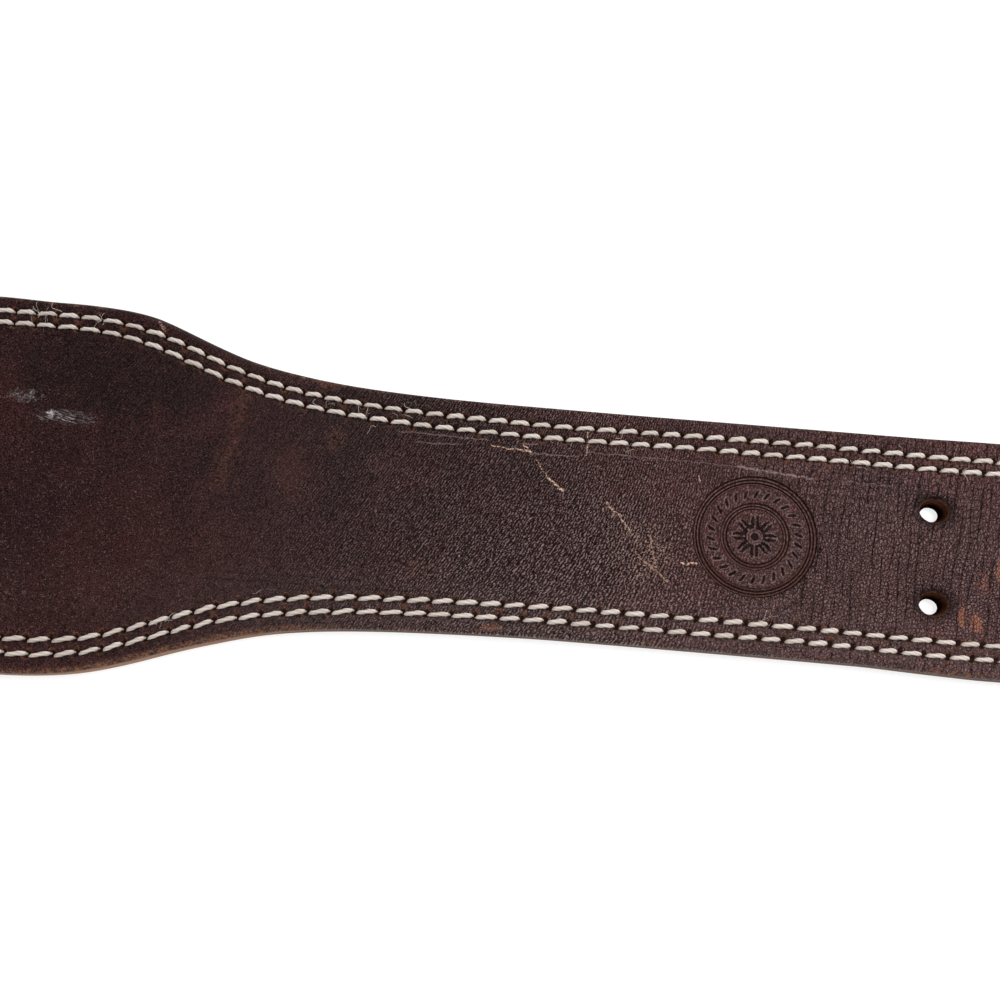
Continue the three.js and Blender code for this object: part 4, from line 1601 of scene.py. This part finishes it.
class LiftingBeltSettings(bpy.types.PropertyGroup):
    """Sizes of the belt."""

    length: length_property("Length", "Leather from the fold to the tip", 1130.0)
    thickness: length_property("Thickness", "Thickness of the leather", 8.0)
    back_width: length_property("Back Width", "Width of the broad back", 104.1)
    end_width: length_property("End Width", "Width of the narrow ends", 62.2)
    taper_halfway: length_property(
        "Taper Halfway", "From the back to where half of the extra width is gone", 62.5
    )
    edge_round: length_property("Edge Round", "Radius of the rounded edges", 1.6)
    hole_first: length_property("First Hole", "Station of the first pair", 925.4)
    hole_pitch: length_property("Hole Pitch", "From pair to pair", 25.4)
    hole_pairs: IntProperty(name="Hole Pairs", description="Pairs of prong holes", default=7, min=1)
    hole_spacing: length_property("Hole Spacing", "Between the two rows", 25.0)
    hole_offset: length_property("Hole Offset", "Rows off the centre line", -1.5)
    hole_length: length_property("Hole Length", "Bore along the belt", 7.8)
    hole_width: length_property("Hole Width", "Bore across the belt", 6.4)
    mark_station: length_property("Mark Station", "Middle of the pressed mark", 878.2)
    mark_diameter: length_property("Mark Diameter", "Size of the pressed mark", 32.4)
    outer_inset: length_property("Outer Row", "Outer stitches from the edge", 4.55)
    inner_inset: length_property("Inner Row", "Inner stitches from the edge", 8.1)
    upper_pitch: length_property("Upper Pitch", "Stitch pitch at one edge", 5.95)
    lower_pitch: length_property("Lower Pitch", "Stitch pitch at the other", 6.19)
    thread_width: length_property("Thread Width", "Width of the thread", 1.22)
    bar_diameter: length_property("Bar Diameter", "Round bar of the buckle", 6.0)
    frame_reach: length_property("Frame Reach", "From heel bar to front bar", 36.0)
    frame_width: length_property("Frame Width", "Between the side bars", 76.0)


def strength_property(name, description, default):
    """Setting for a strength of light."""
    return FloatProperty(name=name, description=description, default=default, min=0.0)


def colour_property(name, description, default):
    """Setting for a colour."""
    return FloatVectorProperty(
        name=name, description=description, default=default, subtype="COLOR", min=0.0, max=1.0
    )


class LiftingBeltLooks(bpy.types.PropertyGroup):
    """Colours of the belt."""

    dark: colour_property("Dark Leather", "Darkest dye", (0.0165, 0.005, 0.0052))
    red: colour_property("Red Leather", "Dye where it is thin", (0.0265, 0.007, 0.0068))
    brown: colour_property("Brown Leather", "Rubbed dye", (0.034, 0.0115, 0.0092))
    # Painted highlights on the grain's tops, glints, sheen and the mark's ridges, and also the pale
    # rubbed lines
    highlight_and_rub: colour_property("Grain Tops", "Tops of the pebbled grain", (0.24, 0.165, 0.158))
    speck: colour_property("Specks", "Small specks of bare leather", (0.2, 0.075, 0.04))
    pressed: colour_property("Pressed Ridges", "Ridges in the mark", (0.09, 0.03, 0.02))
    worn: colour_property("Worn Leather", "Skin worn through", (0.26, 0.12, 0.065))
    flake: colour_property("Flaked Skin", "Leather where the skin has flaked", (0.4, 0.15, 0.09))
    scratch: colour_property("Scratches", "Bare leather in scratches", (0.72, 0.46, 0.34))
    scuff: colour_property("Scuff", "Pale rubbed patch", (0.8, 0.76, 0.77))
    rim: colour_property("Hole Rims", "Cut leather at the holes", (0.16, 0.06, 0.028))
    # Painted shade deep in the prong holes
    bore: colour_property("Hole Walls", "Deep in the holes", (0.004, 0.0015, 0.001))
    raw: colour_property("Raw Edge", "Cut edge without dye", (0.36, 0.2, 0.12))
    edge_dark: colour_property("Dyed Edge", "Dyed and burnished edge", (0.03, 0.013, 0.01))
    flesh: colour_property("Flesh Side", "Suede underside", (0.2, 0.115, 0.07))
    thread: colour_property("Thread", "Clean thread", (0.8, 0.7, 0.63))
    thread_dirty: colour_property("Dirty Thread", "Soiled thread", (0.6, 0.5, 0.43))
    steel: colour_property("Steel", "Bright steel", (0.62, 0.62, 0.63))
    steel_dull: colour_property("Dull Steel", "Dulled steel", (0.42, 0.41, 0.4))


class LiftingBeltStage(bpy.types.PropertyGroup):
    """Camera, floor and light."""

    camera_place: FloatVectorProperty(
        name="Camera Place",
        description="Where the camera stands",
        default=(0.2749, -0.07336, 0.33292),
        subtype="TRANSLATION",
    )
    camera_turn: FloatVectorProperty(
        name="Camera Turn",
        description="Camera angles, taken in the order Y, X, Z",
        default=(0.2372, 0.0192, 0.0814),
        subtype="EULER",
    )
    lens: FloatProperty(name="Lens", description="Focal length", default=45.0, unit="CAMERA")
    floor_colour: colour_property("Floor", "Pale floor", (0.3, 0.3, 0.3))
    floor_glow: strength_property("Floor Glow", "Light from the floor itself", 0.8)
    sky: strength_property("Fill Light", "Strength of the light all round", 0.06)
    light: strength_property("Lamps", "Strength of all the lamps together", 1.0)


# Operators


class BELT_OT_leather(bpy.types.Operator):
    """Builds the leather body with its edges, holes, fold and pressed mark"""

    bl_idname = "lifting_belt.leather"
    bl_label = "Leather Body"

    def execute(self, context):
        shape = BeltShape(context.scene.lifting_belt)
        mesh = LeatherShell(shape).mesh("leather_body")
        make_outward(mesh)
        wide = shape.end_width
        cutters = [prism("bar_space", bar_space(), -wide, wide, "y")]
        for number, y in enumerate(shape.hole_rows):
            outline, top = slot_outline(y), 2 * FOLD_RADIUS + 2.0
            cutters.append(prism(f"slot_{number}", outline, -2.0, top, "z"))
        mesh = cut(mesh, cutters)
        mesh.shade_smooth()
        mesh.set_sharp_from_angle(angle=math.radians(70))
        looks = context.scene.lifting_belt_looks
        body = add_object("leather_body", mesh, leather_material(looks, shape))
        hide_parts("belt_leather")
        return {"FINISHED"}


def stitches_between(holes, pitch):
    """Middle, turn and stretch of the stitches between the holes of a row."""
    gap = np.diff(holes, axis=0)
    turns = np.arctan2(gap[:, 1], gap[:, 0])
    return (holes[1:] + holes[:-1]) / 2, turns, np.hypot(gap[:, 0], gap[:, 1]) / pitch


def stitches_beside(shape, side):
    """The same for all stitches of the long rows on one side of the belt."""
    found = [stitches_between(row, shape.pitches[side]) for row in shape.rows.values()]
    middles, turns, stretches = [np.concatenate(values) for values in zip(*found)]
    kept = (middles[:, 1] > 0) == (side > 0)
    return middles[kept], turns[kept], stretches[kept]


def on_face(shape, places, lift):
    """Places in the x and y of the part, at the height of the face plus lift."""
    height = shape.face_height(places, shape.inset_of(places), dips=False)[0]
    return np.column_stack([places[:, 0] - ORIGIN_STATION, places[:, 1], height + lift])


class BELT_OT_stitching(bpy.types.Operator):
    """Sews the rows along both edges and across the fold, on the face and the underside"""

    bl_idname = "lifting_belt.stitching"
    bl_label = "Stitching"

    def execute(self, context):
        shape = BeltShape(context.scene.lifting_belt)
        thread = thread_material(context.scene.lifting_belt_looks)
        tree = stitch_nodes()
        looks = {
            1: {"Stitch Length": 4.75 * MM, "Bow": 0.3 * MM, "Slant": 0.22 * MM, "Taper": -0.12},
            -1: {"Stitch Length": 5.3 * MM, "Bow": -0.08 * MM, "Slant": 0.28 * MM, "Taper": 0.18},
        }
        widths = {1: 0.94, -1: 1.04}
        faces, unders = [], []
        for side in (1, -1):
            middles, turns, stretches = stitches_beside(shape, side)
            if side < 0:
                stretches = stretches * (1.03 - 0.1 * smooth(middles[:, 0], 780, 850))
                knots, lean = np.array(LOWER_LEAN).T
                turns = turns + np.radians(np.interp(middles[:, 0], knots, lean))
            values = {"turn": turns, "stretch": stretches}
            common = {"Thread Width": shape.thread * widths[side] * MM, "Material": thread}
            inputs = {**common, **looks[side], "Seed": 20 + side}
            places = on_face(shape, middles, STITCH_LIFT)
            faces.append(grow("stitches", places, values, tree, inputs))
            height = np.full(len(middles), UNDER_STITCH_HEIGHT)
            under = np.column_stack([middles - (ORIGIN_STATION, 0), height])
            inputs = {**common, "Bow": 0.0, "Rise": 0.0, "Sink": -0.8 * MM, "Seed": 40 + side}
            unders.append(grow("under_stitches", under, values, tree, inputs))
        common = {"Thread Width": shape.thread * MM, "Material": thread}
        for row in shape.cross_rows:
            middles, turns, stretches = stitches_between(row, shape.pitches[1])
            values = {"turn": turns, "stretch": stretches}
            inputs = {**common, "Bow": 0.1 * MM, "Seed": 61}
            places = on_face(shape, middles, STITCH_LIFT)
            faces.append(grow("cross_stitches", places, values, tree, inputs))
        add_object("face_stitching", joined("face_stitching", faces), thread)
        add_object("underside_stitching", joined("underside_stitching", unders), thread)
        return {"FINISHED"}


class BELT_OT_fibres(bpy.types.Operator):
    """Scatters loose fibres along the thread"""

    bl_idname = "lifting_belt.fibres"
    bl_label = "Loose Fibres"

    def execute(self, context):
        shape = BeltShape(context.scene.lifting_belt)
        chance = np.random.RandomState(8)
        holes = np.vstack(list(shape.rows.values()))
        spread = []
        for hole in holes[chance.permutation(len(holes))[:FIBRE_CLUMPS]]:
            count = chance.randint(1, FIBRES_MOST + 1)
            spread.append(hole + chance.normal(0, FIBRE_SPREAD, (count, 2)))
        lint = lint_material(context.scene.lifting_belt_looks)
        places = on_face(shape, np.vstack(spread), FIBRE_HEIGHT)
        mesh = grow("loose_fibres", places, {}, fibre_nodes(), {"Material": lint, "Seed": 5})
        add_object("loose_fibres", mesh, lint)
        return {"FINISHED"}


class BELT_OT_torn_rims(bpy.types.Operator):
    """Curls the torn leather up beside the stitch holes"""

    bl_idname = "lifting_belt.torn_rims"
    bl_label = "Torn Rims"

    def execute(self, context):
        shape = BeltShape(context.scene.lifting_belt)
        chance = np.random.RandomState(9)
        holes = np.vstack(list(shape.rows.values()))
        lower_share = TORN_LOWER + TORN_MOST * bell(holes[:, 0] - TORN_STATION, TORN_WIDTH)
        share = np.where(holes[:, 1] < 0, lower_share, TORN_UPPER)
        picked = holes[chance.uniform(size=len(holes)) < share]
        toward = np.where(picked[:, 1] < 0, 1.0, -0.8)
        torn = burr_material(context.scene.lifting_belt_looks)
        rims = picked + np.stack([np.zeros(len(picked)), toward], 1)
        places = on_face(shape, rims, TORN_HEIGHT)
        turns = np.where(picked[:, 1] < 0, 0.0, math.pi)
        inputs = {"Material": torn, "Seed": 6}
        mesh = grow("torn_rims", places, {"turn": turns}, burr_nodes(), inputs)
        add_object("torn_rims", mesh, torn)
        return {"FINISHED"}


class BELT_OT_buckle(bpy.types.Operator):
    """Builds the buckle frame and its two prongs"""

    bl_idname = "lifting_belt.buckle"
    bl_label = "Buckle"

    def execute(self, context):
        shape = BeltShape(context.scene.lifting_belt)
        buckle = BuckleShape(context.scene.lifting_belt)
        shells = [buckle.frame_shell()] + [buckle.prong_shell(y) for y in shape.hole_rows]
        points, faces = [], []
        for some, shell in shells:
            start = sum(len(others) for others in points)
            points.append(some)
            faces += [[start + i for i in face] for face in shell]
        mesh = mesh_of("buckle_frame_and_prongs", np.vstack(points), faces)
        make_outward(mesh)
        mesh.shade_smooth()
        steel = steel_material(context.scene.lifting_belt_looks)
        piece = add_object("buckle_frame_and_prongs", mesh, steel)
        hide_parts("buckle")
        return {"FINISHED"}


class BELT_OT_stage(bpy.types.Operator):
    """Lays the floor and sets up the light and the camera"""

    bl_idname = "lifting_belt.stage"
    bl_label = "Stage"

    def execute(self, context):
        scene, stage = context.scene, context.scene.lifting_belt_stage
        scene.view_settings.view_transform = "Standard"
        signs = ((-1, -1), (1, -1), (1, 1), (-1, 1))
        corners = [(x * FLOOR_HALF_WIDTH, y * FLOOR_HALF_WIDTH, FLOOR_Z) for x, y in signs]
        floor = linked("floor", mesh_of("floor", corners, [[0, 1, 2, 3]]))
        material, tree = new_material("pale_floor")
        glow = {"Emission Color": WHITE, "Emission Strength": stage.floor_glow}
        finish_material(tree, {**principled(opaque(stage.floor_colour), 0.9, None, 0.1), **glow})
        floor.data.materials.append(material)
        world = bpy.data.worlds.new("soft_studio")
        world.use_nodes = True
        sky = world.node_tree.nodes["Background"]
        sky.inputs["Color"].default_value = WHITE
        sky.inputs["Strength"].default_value = stage.sky
        scene.world = world
        for name, place, size, power in LAMPS:
            data = bpy.data.lights.new(name, "AREA")
            data.size = size
            data.energy = power * stage.light
            lamp = linked(name, data)
            lamp.location = place
            aim = Vector(LAMP_AIM) - Vector(place)
            lamp.rotation_euler = aim.to_track_quat("-Z", "Y").to_euler()
        camera_data = bpy.data.cameras.new("camera")
        camera_data.lens = stage.lens
        camera_data.sensor_width = 36.0
        camera_data.clip_start = 0.01
        camera = linked("camera", camera_data)
        camera.location = stage.camera_place
        camera.rotation_mode = "YXZ"
        camera.rotation_euler = Euler(stage.camera_turn, "YXZ")
        scene.camera = camera
        return {"FINISHED"}


class BELT_PT_panel(bpy.types.Panel):
    """Sizes, colours and building steps of the belt"""

    bl_idname = "BELT_PT_panel"
    bl_label = "Lifting Belt"
    bl_space_type = "VIEW_3D"
    bl_region_type = "UI"
    bl_category = "Belt"

    def draw(self, context):
        column = self.layout.column()
        for operator in OPERATORS:
            column.operator(operator.bl_idname)
        for group in GROUPS:
            settings = getattr(context.scene, group)
            box = self.layout.box()
            for name in settings.__annotations__:
                box.prop(settings, name)


OPERATORS = (
    BELT_OT_stage,
    BELT_OT_leather,
    BELT_OT_stitching,
    BELT_OT_fibres,
    BELT_OT_torn_rims,
    BELT_OT_buckle,
)
GROUPS = {
    "lifting_belt": LiftingBeltSettings,
    "lifting_belt_looks": LiftingBeltLooks,
    "lifting_belt_stage": LiftingBeltStage,
}


def register():
    """Registers the classes and the settings of the scene."""
    for group in GROUPS.values():
        bpy.utils.register_class(group)
    for operator in OPERATORS:
        bpy.utils.register_class(operator)
    bpy.utils.register_class(BELT_PT_panel)
    for name, group in GROUPS.items():
        setattr(bpy.types.Scene, name, PointerProperty(type=group))


def unregister():
    """Takes back what register does."""
    for name in GROUPS:
        delattr(bpy.types.Scene, name)
    bpy.utils.unregister_class(BELT_PT_panel)
    for operator in reversed(OPERATORS):
        bpy.utils.unregister_class(operator)
    for group in reversed(GROUPS.values()):
        bpy.utils.unregister_class(group)


def main():
    """Builds every piece and the stage."""
    register()
    bpy.ops.lifting_belt.stage()
    bpy.ops.lifting_belt.leather()
    bpy.ops.lifting_belt.stitching()
    bpy.ops.lifting_belt.fibres()
    bpy.ops.lifting_belt.torn_rims()
    bpy.ops.lifting_belt.buckle()


if __name__ == "__main__":
    main()
